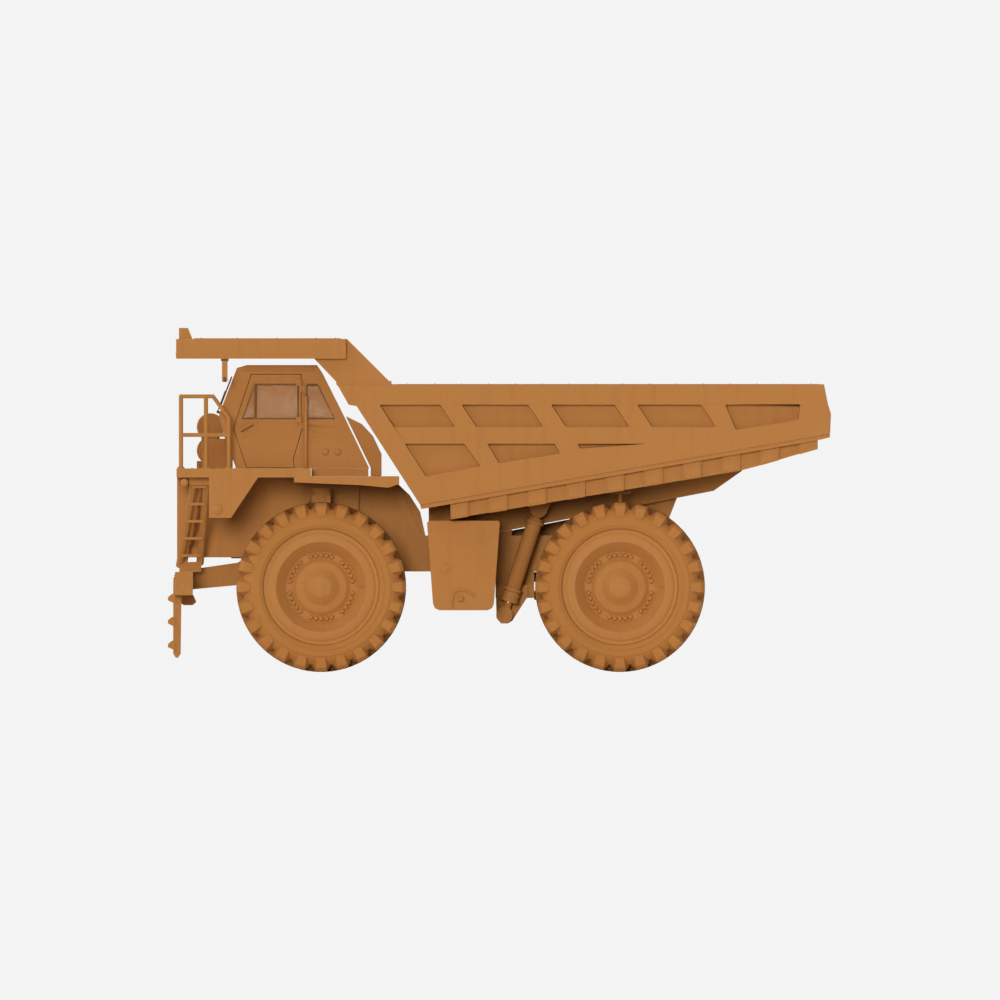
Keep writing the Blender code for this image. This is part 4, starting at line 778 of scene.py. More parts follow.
@dataclass
class Tyre:
    """A dumper tyre: a round carcass whose traction lugs lap its shoulders, staggered from side to side."""

    node: str
    body: str
    side: Side
    finish: bpy.types.Material
    lugs: int = 24
    groove: float = 0.088
    seat_radius: float = 0.802
    rounds: int = 96

    def section(self, radius: float, width: float) -> list[Flat]:
        """The carcass's section as (radius, distance from the inner face), from bead to bead."""
        crown = radius - self.groove
        half = [
            (self.seat_radius, 0.075),
            (0.884, 0.072),
            (0.886, 0.040),
            (0.905, 0.022),
            (0.935, 0.012),
            (0.945, 0.004),
            (0.962, 0.004),
            (0.972, 0.011),
            (1.035, 0.012),
            (1.042, 0.006),
            (1.056, 0.006),
            (1.064, 0.014),
            (1.105, 0.028),
            (1.140, 0.052),
            (crown - 0.020, 0.100),
            (crown, 0.155),
        ]
        return [*half, *[(r, width - y) for r, y in reversed(half)]]

    def lug_sections(self, radius: float, width: float) -> list[tuple[float, ...]]:
        """A lug's sections from its foot on the sidewall to its end past the crown's middle.

        Each row is: top radius, top depth, top half angle, base radius, base depth, base half angle, turn;
        depths are from the tyre's face and angles are in degrees.
        """
        base = radius - self.groove - 0.006
        return [
            (1.082, 0.012, 3.2, 1.080, 0.032, 4.4, 0.0),
            (1.150, 0.000, 3.4, 1.140, 0.066, 5.4, 0.0),
            (1.236, 0.004, 3.5, base, 0.112, 6.5, 0.0),
            (radius - 0.012, 0.046, 3.6, base, 0.155, 7.3, 0.0),
            (radius, 0.085, 3.7, base, 0.180, 7.4, 0.0),
            (radius, width * 0.36, 3.7, base, width * 0.36, 5.8, 2.2),
            (radius - 0.004, width * 0.58, 3.0, base, width * 0.62, 4.4, 4.4),
        ]

    def build(self) -> bpy.types.Object:
        """Builds the tyre and puts it in its node's place."""
        low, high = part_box(self.node)
        width = high.y - low.y
        radius = (high.z - low.z) / 2
        sign = self.side.value
        inner = low.y if sign > 0 else high.y
        middle = (low + high) / 2
        shape = Shape()
        part = bmesh.new()
        loops = []
        for r, y in self.section(radius, width):
            turns = (2 * pi * step / self.rounds for step in range(self.rounds))
            loops.append([self.place(middle, inner, sign, r, y, turn, part) for turn in turns])
        for loop, following in zip(loops, loops[1:] + loops[:1]):
            for k in range(self.rounds):
                after = (k + 1) % self.rounds
                part.faces.new([loop[k], loop[after], following[after], following[k]])
        shape.take(part)
        for index in range(self.lugs):
            for mirrored in (False, True):
                shape.take(self.lug(middle, inner, sign, radius, width, index, mirrored))
        piece = shape.done(f"{self.node}_tread", self.finish, self.body, "tyre_rubber", smooth=26)
        add_bevel(piece, 0.010, 1)
        piece.modifiers["edge bevel"].angle_limit = radians(24)
        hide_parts(self.node)
        return piece

    def place(
        self,
        middle: Vector,
        inner: float,
        sign: int,
        r: float,
        y: float,
        turn: float,
        part: bmesh.types.BMesh,
    ) -> bmesh.types.BMVert:
        """A vertex at a radius, a distance out from the inner face, and a turn about the axle."""
        return part.verts.new((middle.x + r * sin(turn), inner + sign * y, middle.z + r * cos(turn)))

    def lug(
        self, middle: Vector, inner: float, sign: int, radius: float, width: float, index: int, mirrored: bool
    ) -> bmesh.types.BMesh:
        """One lug on one side of the tread."""
        pitch = 2 * pi / self.lugs
        turn = pitch * (index + (0.5 if mirrored else 0.0))
        lean = -1 if mirrored else 1
        part = bmesh.new()
        rows = []
        for top_r, top_y, top_half, base_r, base_y, base_half, twist in self.lug_sections(radius, width):
            row = []
            corners = ((base_r, base_y, -base_half), (top_r, top_y, -top_half), (top_r, top_y, top_half))
            for r, y, half in (*corners, (base_r, base_y, base_half)):
                across = y if mirrored else width - y
                edge = turn + radians(half + twist * lean)
                row.append(self.place(middle, inner, sign, r, across, edge, part))
            rows.append(row)
        for row, following in zip(rows, rows[1:]):
            for k in range(3):
                part.faces.new([row[k], row[k + 1], following[k + 1], following[k]])
            part.faces.new([row[3], row[0], following[0], following[3]])
        part.faces.new(rows[0])
        part.faces.new(rows[-1])
        return part


@dataclass
class Rim:
    """A wheel rim with its dished disc, hub, cap and ring of domed nuts in groups of five."""

    node: str
    body: str
    side: Side
    finish: bpy.types.Material
    dual: bool
    nut_ring: float = 0.487
    nut_radius: float = 0.038
    groups: int = 6
    nuts: int = 5
    nut_step: float = 9.6

    def face(self) -> list[Flat]:
        """The outside face as (radius, depth below the flange's face), from the cap to the flange's edge."""
        return [
            (0.150, 0.068),
            (0.166, 0.076),
            (0.272, 0.170),
            (0.284, 0.176),
            (0.376, 0.176),
            (0.388, 0.181),
            (0.430, 0.226),
            (0.440, 0.232),
            (0.536, 0.232),
            (0.548, 0.224),
            (0.680, 0.012),
            (0.692, 0.004),
            (0.796, 0.004),
            (0.806, 0.008),
            (0.836, 0.026),
            (0.842, 0.024),
            (0.878, 0.026),
            (0.880, 0.034),
        ]

    def build(self) -> bpy.types.Object:
        """Builds the rim and puts it in its node's place."""
        low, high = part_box(self.node)
        sign = self.side.value
        outer = high.y if sign > 0 else low.y
        width = high.y - low.y
        middle = (low + high) / 2
        barrel = [(0.800, 0.040)]
        if self.dual:
            barrel += [(0.800, 0.640), (0.880, 0.640), (0.880, 0.680), (0.802, 0.680)]
            barrel += [(0.802, 0.895), (0.880, 0.895), (0.880, 0.935), (0.800, 0.935)]
        barrel += [(0.800, width - 0.040), (0.880, width - 0.040), (0.880, width)]
        back = [(0.762, width), (0.762, 0.335), (0.740, 0.300), (0.600, 0.296), (0.450, 0.295)]
        shape = Shape()
        profile = [*self.face(), *barrel, *back]
        start = (middle.x, outer, middle.z)
        end = (middle.x, outer - sign, middle.z)
        shape.turned(profile, start, end, 96)
        if not self.dual:
            hub = [(0.325, 0.290), (0.450, 0.290), (0.450, 0.440), (0.420, 0.480), (0.325, 0.480)]
            shape.turned(hub, start, end, 48, closed=True)
        self.add_nuts(shape, middle, outer, sign)
        self.add_valve(shape, middle, outer, sign)
        piece = shape.done(f"{self.node}_disc", self.finish, self.body, "rim_paint", smooth=30)
        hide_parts(self.node)
        return piece

    def add_nuts(self, shape: Shape, middle: Vector, outer: float, sign: int) -> None:
        """Adds the domed wheel nuts and the cap's bolts."""
        nut = [(1.05, 0.0), (1.05, 0.35), (1.0, 0.55), (0.90, 0.85)]
        nut += [(0.70, 1.12), (0.42, 1.28), (0.12, 1.34)]
        scaled = [(r * self.nut_radius, h * self.nut_radius) for r, h in nut]
        for group in range(self.groups):
            for index in range(self.nuts):
                turn = 2 * pi * group / self.groups + radians(self.nut_step * (index - (self.nuts - 1) / 2))
                x = middle.x + self.nut_ring * sin(turn)
                z = middle.z + self.nut_ring * cos(turn)
                seat = outer - sign * 0.232
                shape.turned(scaled, (x, seat, z), (x, seat + sign, z), 14)
        for step in range(12):
            turn = 2 * pi * (step + 0.5) / 12
            spot = (middle.x + 0.330 * sin(turn), outer - sign * 0.176, middle.z + 0.330 * cos(turn))
            shape.bolt(spot, (0, sign, 0), 0.014)
        for step in range(6):
            turn = 2 * pi * step / 6
            spot = (middle.x + 0.115 * sin(turn), outer - sign * 0.068, middle.z + 0.115 * cos(turn))
            shape.bolt(spot, (0, sign, 0), 0.011)

    def add_valve(self, shape: Shape, middle: Vector, outer: float, sign: int) -> None:
        """Adds the inflation valve and its clip on the cone."""
        shape.tube(
            [
                (middle.x + 0.600, outer - sign * 0.160, middle.z - 0.02),
                (middle.x + 0.615, outer - sign * 0.100, middle.z),
                (middle.x + 0.655, outer - sign * 0.030, middle.z),
            ],
            0.010,
        )
        shape.block(
            (middle.x + 0.628, middle.x + 0.650),
            (outer - sign * 0.085, outer - sign * 0.055),
            (middle.z - 0.018, middle.z + 0.018),
        )


@dataclass
class Wheels:
    """All the wheels of the truck."""

    palette: Palette

    def build(self) -> None:
        """Builds each rim and tyre."""
        paint, rubber = self.palette.rim, self.palette.tyre
        for side in Side:
            front, rear = f"{side.word}_front_wheel", f"{side.word}_rear_wheels"
            Rim(f"{side.word}_front_rim", front, side, paint, False).build()
            Rim(f"{side.word}_rear_rim", rear, side, paint, True).build()
            Tyre(f"{side.word}_front_tyre", front, side, rubber).build()
            Tyre(f"{side.word}_rear_outer_tyre", rear, side, rubber).build()
            Tyre(f"{side.word}_rear_inner_tyre", rear, side, rubber).build()


# Load body and hoists


@dataclass
class LoadBody:
    """The load body's plates, ribs, weld seams, pins and canopy trim."""

    frame: dict
    palette: Palette
    floor_foot: Flat = (-1.213, 2.556)
    floor_slope: float = 0.1731
    bolster_start: float = -0.749
    bolster_pitch: float = 0.592
    bolster_width: float = 0.279
    bolsters: int = 10
    bead: float = 0.012

    def floor_z(self, x: float) -> float:
        """The height where a side wall stands on the floor's edge."""
        return self.floor_foot[1] + self.floor_slope * (x - self.floor_foot[0])

    def head_x(self, z: float) -> float:
        """The place of the body's sloping front edge at a height."""
        return self.floor_foot[0] - 0.644 * (z - self.floor_foot[1])

    def build(self) -> None:
        """Builds everything on the load body."""
        paint = self.palette.body
        refined(self.frame, "body_floor", paint, 0.010, 1)
        refined(self.frame, "body_headwall", paint, 0.008, 1)
        refined(self.frame, "body_canopy", paint, 0.012, 1)
        refined(self.frame, "canopy_skirt", paint, 0.010, 1)
        for side in Side:
            refined(self.frame, f"body_{side.word}_side", paint, 0.014, 1, False)
            self.add_welds(side)
            self.add_rail_cap(side)
            self.add_bolster_ends(side)
            self.add_canopy_post(side)
        self.add_wear_plates()
        self.add_canopy_ribs()
        self.add_rock_ejectors()
        self.add_pivot_caps()

    def add_welds(self, side: Side) -> None:
        """Adds the weld beads along the floor's edge and the body's front edge."""
        low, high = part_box(f"body_{side.word}_side")
        y = (low.y if side is Side.LEFT else high.y) - side.value * 0.006
        shape = Shape()
        route = [(x, y, self.floor_z(x) + 0.004) for x in (-1.19, 0.4, 2.0, 3.5, 5.02)]
        shape.tube(route, self.bead, 8)
        front = [(self.head_x(z) + 0.075, side.value * 2.563, z) for z in (2.70, 3.30, 3.95, 4.34)]
        shape.tube(front, self.bead, 8)
        shape.done(f"{side.word}_wall_welds", self.palette.steel, "load_body", "bare_steel")

    def add_rail_cap(self, side: Side) -> None:
        """Adds the top rail's cap strip with its row of bolts."""
        low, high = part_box(f"body_{side.word}_side")
        y_low, y_high = low.y + 0.030, high.y - 0.030
        top = high.z - 0.003
        shape = Shape()
        shape.block((-1.55, 4.88), (y_low, y_high), (top - 0.010, top + 0.006), 0.004)
        for index in range(16):
            shape.bolt((-1.40 + 0.41 * index, (y_low + y_high) / 2, top + 0.004), (0, 0, 1), 0.010)
        shape.done(f"{side.word}_rail_cap", self.palette.body, "load_body", "body_paint")

    def add_bolster_ends(self, side: Side) -> None:
        """Adds the closing plates on the ends of the floor's cross bolsters."""
        shape = Shape()
        face = side.value * 2.66
        for index in range(self.bolsters - 1):
            x0 = self.bolster_start + self.bolster_pitch * index
            x1 = x0 + self.bolster_width
            inset = 0.030
            outline = [
                (x0 + inset, self.under_z(x0 + inset) + inset),
                (x1 - inset, self.under_z(x1 - inset) + inset),
                (x1 - inset, self.floor_z(x1) - 0.09),
                (x0 + inset, self.floor_z(x0) - 0.09),
            ]
            shape.prism(outline, Axis.Y, face - 0.004, face + side.value * 0.010, 0.005)
        shape.done(f"{side.word}_bolster_ends", self.palette.body, "load_body", "body_paint")

    def under_z(self, x: float) -> float:
        """The height of the bolsters' underside."""
        if x < 3.701:
            return 2.333 + 0.1693 * (x + 0.705)
        return 3.069 + (x - 3.701) * 0.287

    def add_canopy_post(self, side: Side) -> None:
        """Adds the rubber-tipped marker post under the canopy's edge and its clamp."""
        y = side.value * 2.875
        shape = Shape()
        shape.bar((-4.192, y, 4.425), (-4.192, y, 4.50), 0.030, 12)
        shape.block((-4.250, -4.134), (y - 0.022, y + 0.022), (4.74, 4.80), 0.008)
        shape.done(f"{side.word}_marker_post", self.palette.seal, "load_body", "tyre_rubber")

    def add_wear_plates(self) -> None:
        """Adds the liner plates on the floor, with plug welds."""
        shape = Shape()
        plug = [(0.022, 0), (0.020, 0.006), (0.008, 0.008)]
        lanes = 6
        for lane in range(lanes):
            y0 = -2.50 + lane * 5.0 / lanes + 0.012
            y1 = y0 + 5.0 / lanes - 0.024
            for x0, x1 in ((-0.95, 0.98), (1.0, 2.93), (2.95, 4.95)):
                outline = [
                    (x0, self.floor_z(x0) - 0.004),
                    (x1, self.floor_z(x1) - 0.004),
                    (x1, self.floor_z(x1) + 0.014),
                    (x0, self.floor_z(x0) + 0.014),
                ]
                shape.prism(outline, Axis.Y, y0, y1, 0.004)
                for share in (0.15, 0.5, 0.85):
                    x = x0 + (x1 - x0) * share
                    for y in (y0 + 0.09, y1 - 0.09):
                        z = self.floor_z(x) + 0.012
                        shape.turned(plug, (x, y, z), (x, y, z + 1), 10)
        shape.done("floor_liners", self.palette.steel, "load_body", "bare_steel")

    def add_canopy_ribs(self) -> None:
        """Adds ribs, two cross strips and bolt rows over the canopy."""
        low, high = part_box("body_canopy")
        top = 5.083
        shape = Shape()
        for y in (-2.25, -1.35, -0.45, 0.45, 1.35, 2.25):
            shape.block((-4.66, -2.42), (y - 0.05, y + 0.05), (top - 0.004, top + 0.010), 0.004)
            for x in (-4.55, -4.0, -3.4, -2.8, -2.5):
                shape.bolt((x, y, top + 0.009), (0, 0, 1), 0.010)
        for x in (-4.05, -3.15):
            across = (low.y + 0.12, high.y - 0.12)
            shape.block((x - 0.04, x + 0.04), across, (top - 0.004, top + 0.007), 0.004)
        shape.done("canopy_ribs", self.palette.body, "load_body", "body_paint")
        lamps = Shape()
        lenses = Shape()
        for y in (-1.7, -0.6, 0.6, 1.7):
            lamps.block((-4.932, -4.86), (y - 0.11, y + 0.11), (4.80, 4.895), 0.010)
            lenses.block((-4.940, -4.925), (y - 0.085, y + 0.085), (4.815, 4.880), 0.006)
        lamps.done("canopy_lamp_boxes", self.palette.plastic, "load_body", "interior_plastic")
        lenses.done("canopy_lamp_lenses", self.palette.lens, "load_body", "tinted_glass")

    def add_rock_ejectors(self) -> None:
        """Adds the bars that hang between each pair of rear tyres, with their hinge plates."""
        for side in Side:
            low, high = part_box(f"{side.word}_rear_inner_tyre")
            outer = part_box(f"{side.word}_rear_outer_tyre")
            gap = (high.y + outer[0].y) / 2 if side is Side.RIGHT else (low.y + outer[1].y) / 2
            axle_x = (low.x + high.x) / 2
            top = self.under_z(axle_x)
            shape = Shape()
            across = (gap - 0.05, gap + 0.05)
            shape.block((axle_x - 0.16, axle_x + 0.16), across, (top - 0.05, top + 0.02), 0.008)
            shape.bar((axle_x, gap - 0.055, top - 0.045), (axle_x, gap + 0.055, top - 0.045), 0.026, 14)
            shape.bar((axle_x, gap, top - 0.03), (axle_x, gap, 2.02), 0.030, 14)
            shape.bar((axle_x, gap, 2.03), (axle_x, gap, 1.98), 0.042, 14)
            shape.done(f"{side.word}_rock_ejector", self.palette.frame, "load_body", "frame_paint")

    def add_pivot_caps(self) -> None:
        """Adds the bolted caps on the hinge pin's ends."""
        shape = Shape()
        cap = [(0.115, 0), (0.115, 0.018), (0.100, 0.026), (0.04, 0.028)]
        x, z = 2.40, 2.30
        for side in Side:
            y = side.value * 0.445
            end = y - side.value * 0.030
            shape.turned(cap, (x, y, z), (x, end, z), 28)
            for step in range(6):
                turn = 2 * pi * step / 6
                spot = (x + 0.085 * sin(turn), y - side.value * 0.020, z + 0.085 * cos(turn))
                shape.bolt(spot, (0, -side.value, 0), 0.012)
        shape.done("hinge_pin_caps", self.palette.steel, "load_body", "bare_steel")


@dataclass
class Hoists:
    """The two telescopic tipping cylinders."""

    frame: dict
    palette: Palette
    lower: Flat = (0.076, 0.871)
    upper: Flat = (0.60, 2.48)
    lane: float = 1.25
    barrel_radius: float = 0.118

    def on_axis(self, side: Side, distance: float) -> Point:
        """A point along one cylinder's middle line, from its lower eye."""
        along = (Vector(self.upper) - Vector(self.lower)).normalized()
        x, z = Vector(self.lower) + along * distance
        return (x, side.value * self.lane, z)

    def build(self) -> None:
        """Builds both cylinders."""
        length = (Vector(self.upper) - Vector(self.lower)).length
        for side in Side:
            word = side.word
            refined(self.frame, f"{word}_hoist_barrel", self.palette.body, 0.006, 1)
            refined(self.frame, f"{word}_hoist_stage", self.palette.chrome, 0.0)
            refined(self.frame, f"{word}_hoist_rod", self.palette.frame, 0.004, 1)
            shape = Shape()
            radius = self.barrel_radius
            gland = [
                (radius + 0.005, 0.0),
                (radius + 0.030, 0.006),
                (radius + 0.030, 0.050),
                (radius + 0.020, 0.058),
                (radius + 0.003, 0.060),
                (radius - 0.004, 0.060),
                (radius - 0.004, 0.0),
            ]
            for place in (0.212, 0.375, length - 0.235):
                shape.turned(gland, self.on_axis(side, place), self.on_axis(side, place + 1), 36, closed=True)
            shape.done(f"{word}_hoist_bands", self.palette.body, f"{word}_barrel", "body_paint")
            port = Shape()
            x, y, z = self.on_axis(side, length - 0.42)
            inward = y - side.value * (radius + 0.012)
            seat = y - side.value * (radius - 0.01)
            port.block((x - 0.06, x + 0.05), (seat, inward), (z - 0.08, z + 0.08), 0.010)
            port.bar((x - 0.01, inward, z), (x - 0.01, inward - side.value * 0.05, z), 0.030, 14)
            port.bolt((x + 0.025, inward, z + 0.055), (0, -side.value, 0), 0.010)
            port.bolt((x - 0.040, inward, z - 0.055), (0, -side.value, 0), 0.010)
            port.done(f"{word}_hoist_port", self.palette.steel, f"{word}_barrel", "bare_steel")
# Cab


@dataclass
class Cab:
    """The cab's skin, door trim, glazing seals, wipers, seat and controls."""

    frame: dict
    palette: Palette
    wall_y: float = -2.14
    seal_width: float = 0.026
    seat_y: float = -1.5
    windscreen_foot: Flat = (-4.280, 3.930)
    windscreen_head: Flat = (-4.006, 4.641)

    def build(self) -> None:
        """Builds the cab."""
        refined(self.frame, "cab_shell", self.palette.body, 0.0, 1, False)
        refined(self.frame, "cab_door", self.palette.body, 0.006, 1)
        refined(self.frame, "dash_console", self.palette.plastic, 0.010, 2)
        for pane in ("windscreen_glass", "rear_glass", "left_rear_glass", "right_side_glass", "door_glass"):
            dress(self.frame, pane, self.palette.glass)
        self.add_seals()
        self.add_wipers()
        self.add_seat()
        self.add_gauges()
        self.add_roof_rails()
        self.add_handles()
        self.add_base()

    def gasket(self, shape: Shape, outline: list[Flat], face: float) -> None:
        """Adds a rubber strip along the inside of an opening's outline on the cab's left face."""
        middle = sum((Vector(corner) for corner in outline), Vector((0, 0))) / len(outline)
        inner = []
        for corner in outline:
            away = Vector(corner) - middle
            inner.append(tuple(middle + away * (1 - 1.3 * self.seal_width / away.length)))
        for index, corner in enumerate(outline):
            after = (index + 1) % len(outline)
            strip = [corner, outline[after], inner[after], inner[index]]
            shape.prism(strip, Axis.Y, face - 0.007, face + 0.030)

    def add_seals(self) -> None:
        """Adds the seals round the side windows."""
        door = Shape()
        self.gasket(door, [(-3.731, 4.401), (-3.060, 4.401), (-3.060, 3.856), (-3.731, 3.856)], self.wall_y)
        self.gasket(door, [(-3.735, 4.395), (-3.735, 3.856), (-3.937, 3.856)], self.wall_y)
        door.done("door_window_seals", self.palette.seal, "door", "tyre_rubber")
        rear = Shape()
        self.gasket(rear, [(-2.949, 4.401), (-2.771, 4.401), (-2.506, 3.856), (-2.949, 3.856)], self.wall_y)
        rear.done("rear_window_seals", self.palette.seal, "chassis", "tyre_rubber")

    def on_windscreen(self, share: float, y: float, lift: float) -> Point:
        """A point in front of the windscreen: how far up it, its Y, and its distance from the glass."""
        foot, head = Vector(self.windscreen_foot), Vector(self.windscreen_head)
        along = (head - foot).normalized()
        place = foot + (head - foot) * share + Vector((-along.y, along.x)) * lift
        return (place.x, y, place.y)

    def add_wipers(self) -> None:
        """Adds the two windscreen wipers with their blades and spindles."""
        shape = Shape()
        for y in (-1.72, -1.05):
            pivot = self.on_windscreen(0.04, y, 0.035)
            shape.bar(self.on_windscreen(0.04, y, -0.02), self.on_windscreen(0.04, y, 0.05), 0.020, 14)
            shape.tube([pivot, self.on_windscreen(0.48, y + 0.16, 0.040)], 0.009, 8)
            blade = [self.on_windscreen(share, y + 0.16, 0.026) for share in (0.16, 0.48, 0.80)]
            shape.tube(blade, 0.012, 6)
        shape.done("windscreen_wipers", self.palette.seal, "chassis", "tyre_rubber")

    def pad(self, name: str, middle: Point, half: Point, channels: int, upright: bool) -> bpy.types.Object:
        """Makes one upholstered cushion: crowned, pulled in between its corners, with channels and piping.

        Args:
            name: The piece's name.
            middle: Its centre.
            half: Half its size on each axis.
            channels: Sewn channels across its width.
            upright: Whether its broad faces look along X, as a backrest's do.

        Returns:
            The new object.
        """
        rounds, levels, corner = 64, 24, 0.42
        shape = Shape()
        part = bmesh.new()
        rings = []
        piping = []
        for level in range(1, levels):
            tilt = pi * (level / levels - 0.5)
            ring = []
            for step in range(rounds):
                turn = 2 * pi * step / rounds
                reach = abs(cos(tilt)) ** corner
                across = reach * abs(cos(turn)) ** corner * (1 if cos(turn) > 0 else -1)
                along = reach * abs(sin(turn)) ** corner * (1 if sin(turn) > 0 else -1)
                thick = abs(sin(tilt)) ** 0.6 * (1 if tilt > 0 else -1)
                thick *= 1 - 0.10 * (0.5 + 0.5 * cos(2 * pi * channels * (across + 1) / 2)) * (1 - abs(along))
                thick *= 1 - 0.22 * max(abs(across), abs(along)) ** 3
                if upright:
                    place = (thick * half[0], across * half[1], along * half[2])
                else:
                    place = (along * half[0], across * half[1], thick * half[2])
                ring.append(part.verts.new(Vector(middle) + Vector(place)))
                if level == levels // 2:
                    piping.append(tuple(Vector(middle) + Vector(place) * 1.005))
            rings.append(ring)
        for ring, following in zip(rings, rings[1:]):
            for step in range(rounds):
                after = (step + 1) % rounds
                part.faces.new([ring[step], ring[after], following[after], following[step]])
        part.faces.new(rings[0])
        part.faces.new(rings[-1])
        shape.take(part)
        shape.tube([*piping, piping[0]], 0.006, 6)
        piece = shape.done(name, self.palette.cloth, "chassis", "cushion", smooth=60)
        return piece

    def add_seat(self) -> None:
        """Adds the operator's seat: cushion, backrest, suspension base and armrests."""
        low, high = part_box("operator_seat")
        y = (low.y + high.y) / 2
        half = (high.y - low.y) / 2
        cushion = self.pad("seat_cushion", (-3.08, y, 3.545), (0.275, half - 0.01, 0.075), 4, False)
        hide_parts("operator_seat")
        back_x = high.x - 0.075
        self.pad("seat_backrest", (back_x, y, 3.935), (0.070, half - 0.02, 0.315), 4, True)
        base = Shape()
        base.block((-3.25, -2.85), (y - 0.17, y + 0.17), (low.z, low.z + 0.05), 0.010)
        for level in range(5):
            z = low.z + 0.05 + 0.046 * level
            base.block((-3.22, -2.88), (y - 0.15, y + 0.15), (z, z + 0.036), 0.014)
        base.block((-3.30, -2.82), (y - 0.20, y + 0.20), (3.43, 3.475), 0.008)
        for side in (-1, 1):
            arm_y = y + side * (half - 0.025)
            base.block((-3.14, back_x), (arm_y - 0.024, arm_y + 0.024), (3.72, 3.75), 0.010)
        base.done("seat_base", self.palette.plastic, "chassis", "interior_plastic")

    def add_gauges(self) -> None:
        """Adds the round gauges and the row of switches on the dash."""
        low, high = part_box("dash_console")
        shape = Shape()
        for index, radius in enumerate((0.055, 0.075, 0.075, 0.055)):
            spot = (-3.722, self.seat_y - 0.26 + 0.17 * index, 3.66)
            rim = [(radius, 0), (radius, 0.016), (radius - 0.010, 0.018)]
            rim += [(radius - 0.014, 0.006), (0.004, 0.006)]
            shape.turned(rim, spot, (spot[0] + 1, spot[1], spot[2]), 24)
        for index in range(7):
            y = self.seat_y + 0.40 + 0.05 * index
            if y < high.y - 0.03:
                shape.block((-3.726, -3.708), (y - 0.016, y + 0.016), (3.62, 3.66), 0.004)
        shape.done("dash_gauges", self.palette.seal, "chassis", "interior_plastic")

    def add_roof_rails(self) -> None:
        """Adds the drip rail above the door and bolts along the cab's foot."""
        shape = Shape()
        shape.block((-3.90, -2.83), (self.wall_y - 0.016, self.wall_y + 0.02), (4.585, 4.603), 0.004)
        for index in range(3):
            shape.bolt((-2.95 + 0.30 * index, -2.2, 3.20), (0, -1, 0), 0.013)
        shape.done("cab_drip_rail", self.palette.body, "chassis", "body_paint")


    def add_handles(self) -> None:
        """Adds the door handle, the long grab bar behind the door and the two plugs below the window."""
        handle = Shape()
        handle.tube([(-3.960, -2.225, 3.690), (-3.775, -2.225, 3.795)], 0.032)
        for x, z in ((-3.945, 3.698), (-3.790, 3.786)):
            handle.bar((x, -2.16, z), (x, -2.215, z), 0.018)
        handle.done("door_pull", self.palette.body, "door", "body_paint")
        fittings = Shape()
        route = [(-2.16, 4.215), (-2.235, 4.200), (-2.245, 4.150)]
        route += [(-2.245, 3.170), (-2.235, 3.130), (-2.19, 3.125)]
        fittings.tube([(-2.955, y, z) for y, z in route], 0.030)
        for x in (-2.660, -2.472):
            fittings.turned(dome(0.060, 0.030), (x, -2.198, 3.363), (x, -3.0, 3.363), 28)
        fittings.done("cab_grab_bar", self.palette.body, "chassis", "body_paint")

    def add_base(self) -> None:
        """Adds the mounting frame between the cab's floor and the lower part of the deck."""
        shape = Shape()
        shape.block((-2.870, -2.000), (-2.190, -0.660), (2.989, 3.1065), 0.004)
        shape.done("cab_base", self.palette.body, "chassis", "body_paint")


# Decks, engine bay and chassis


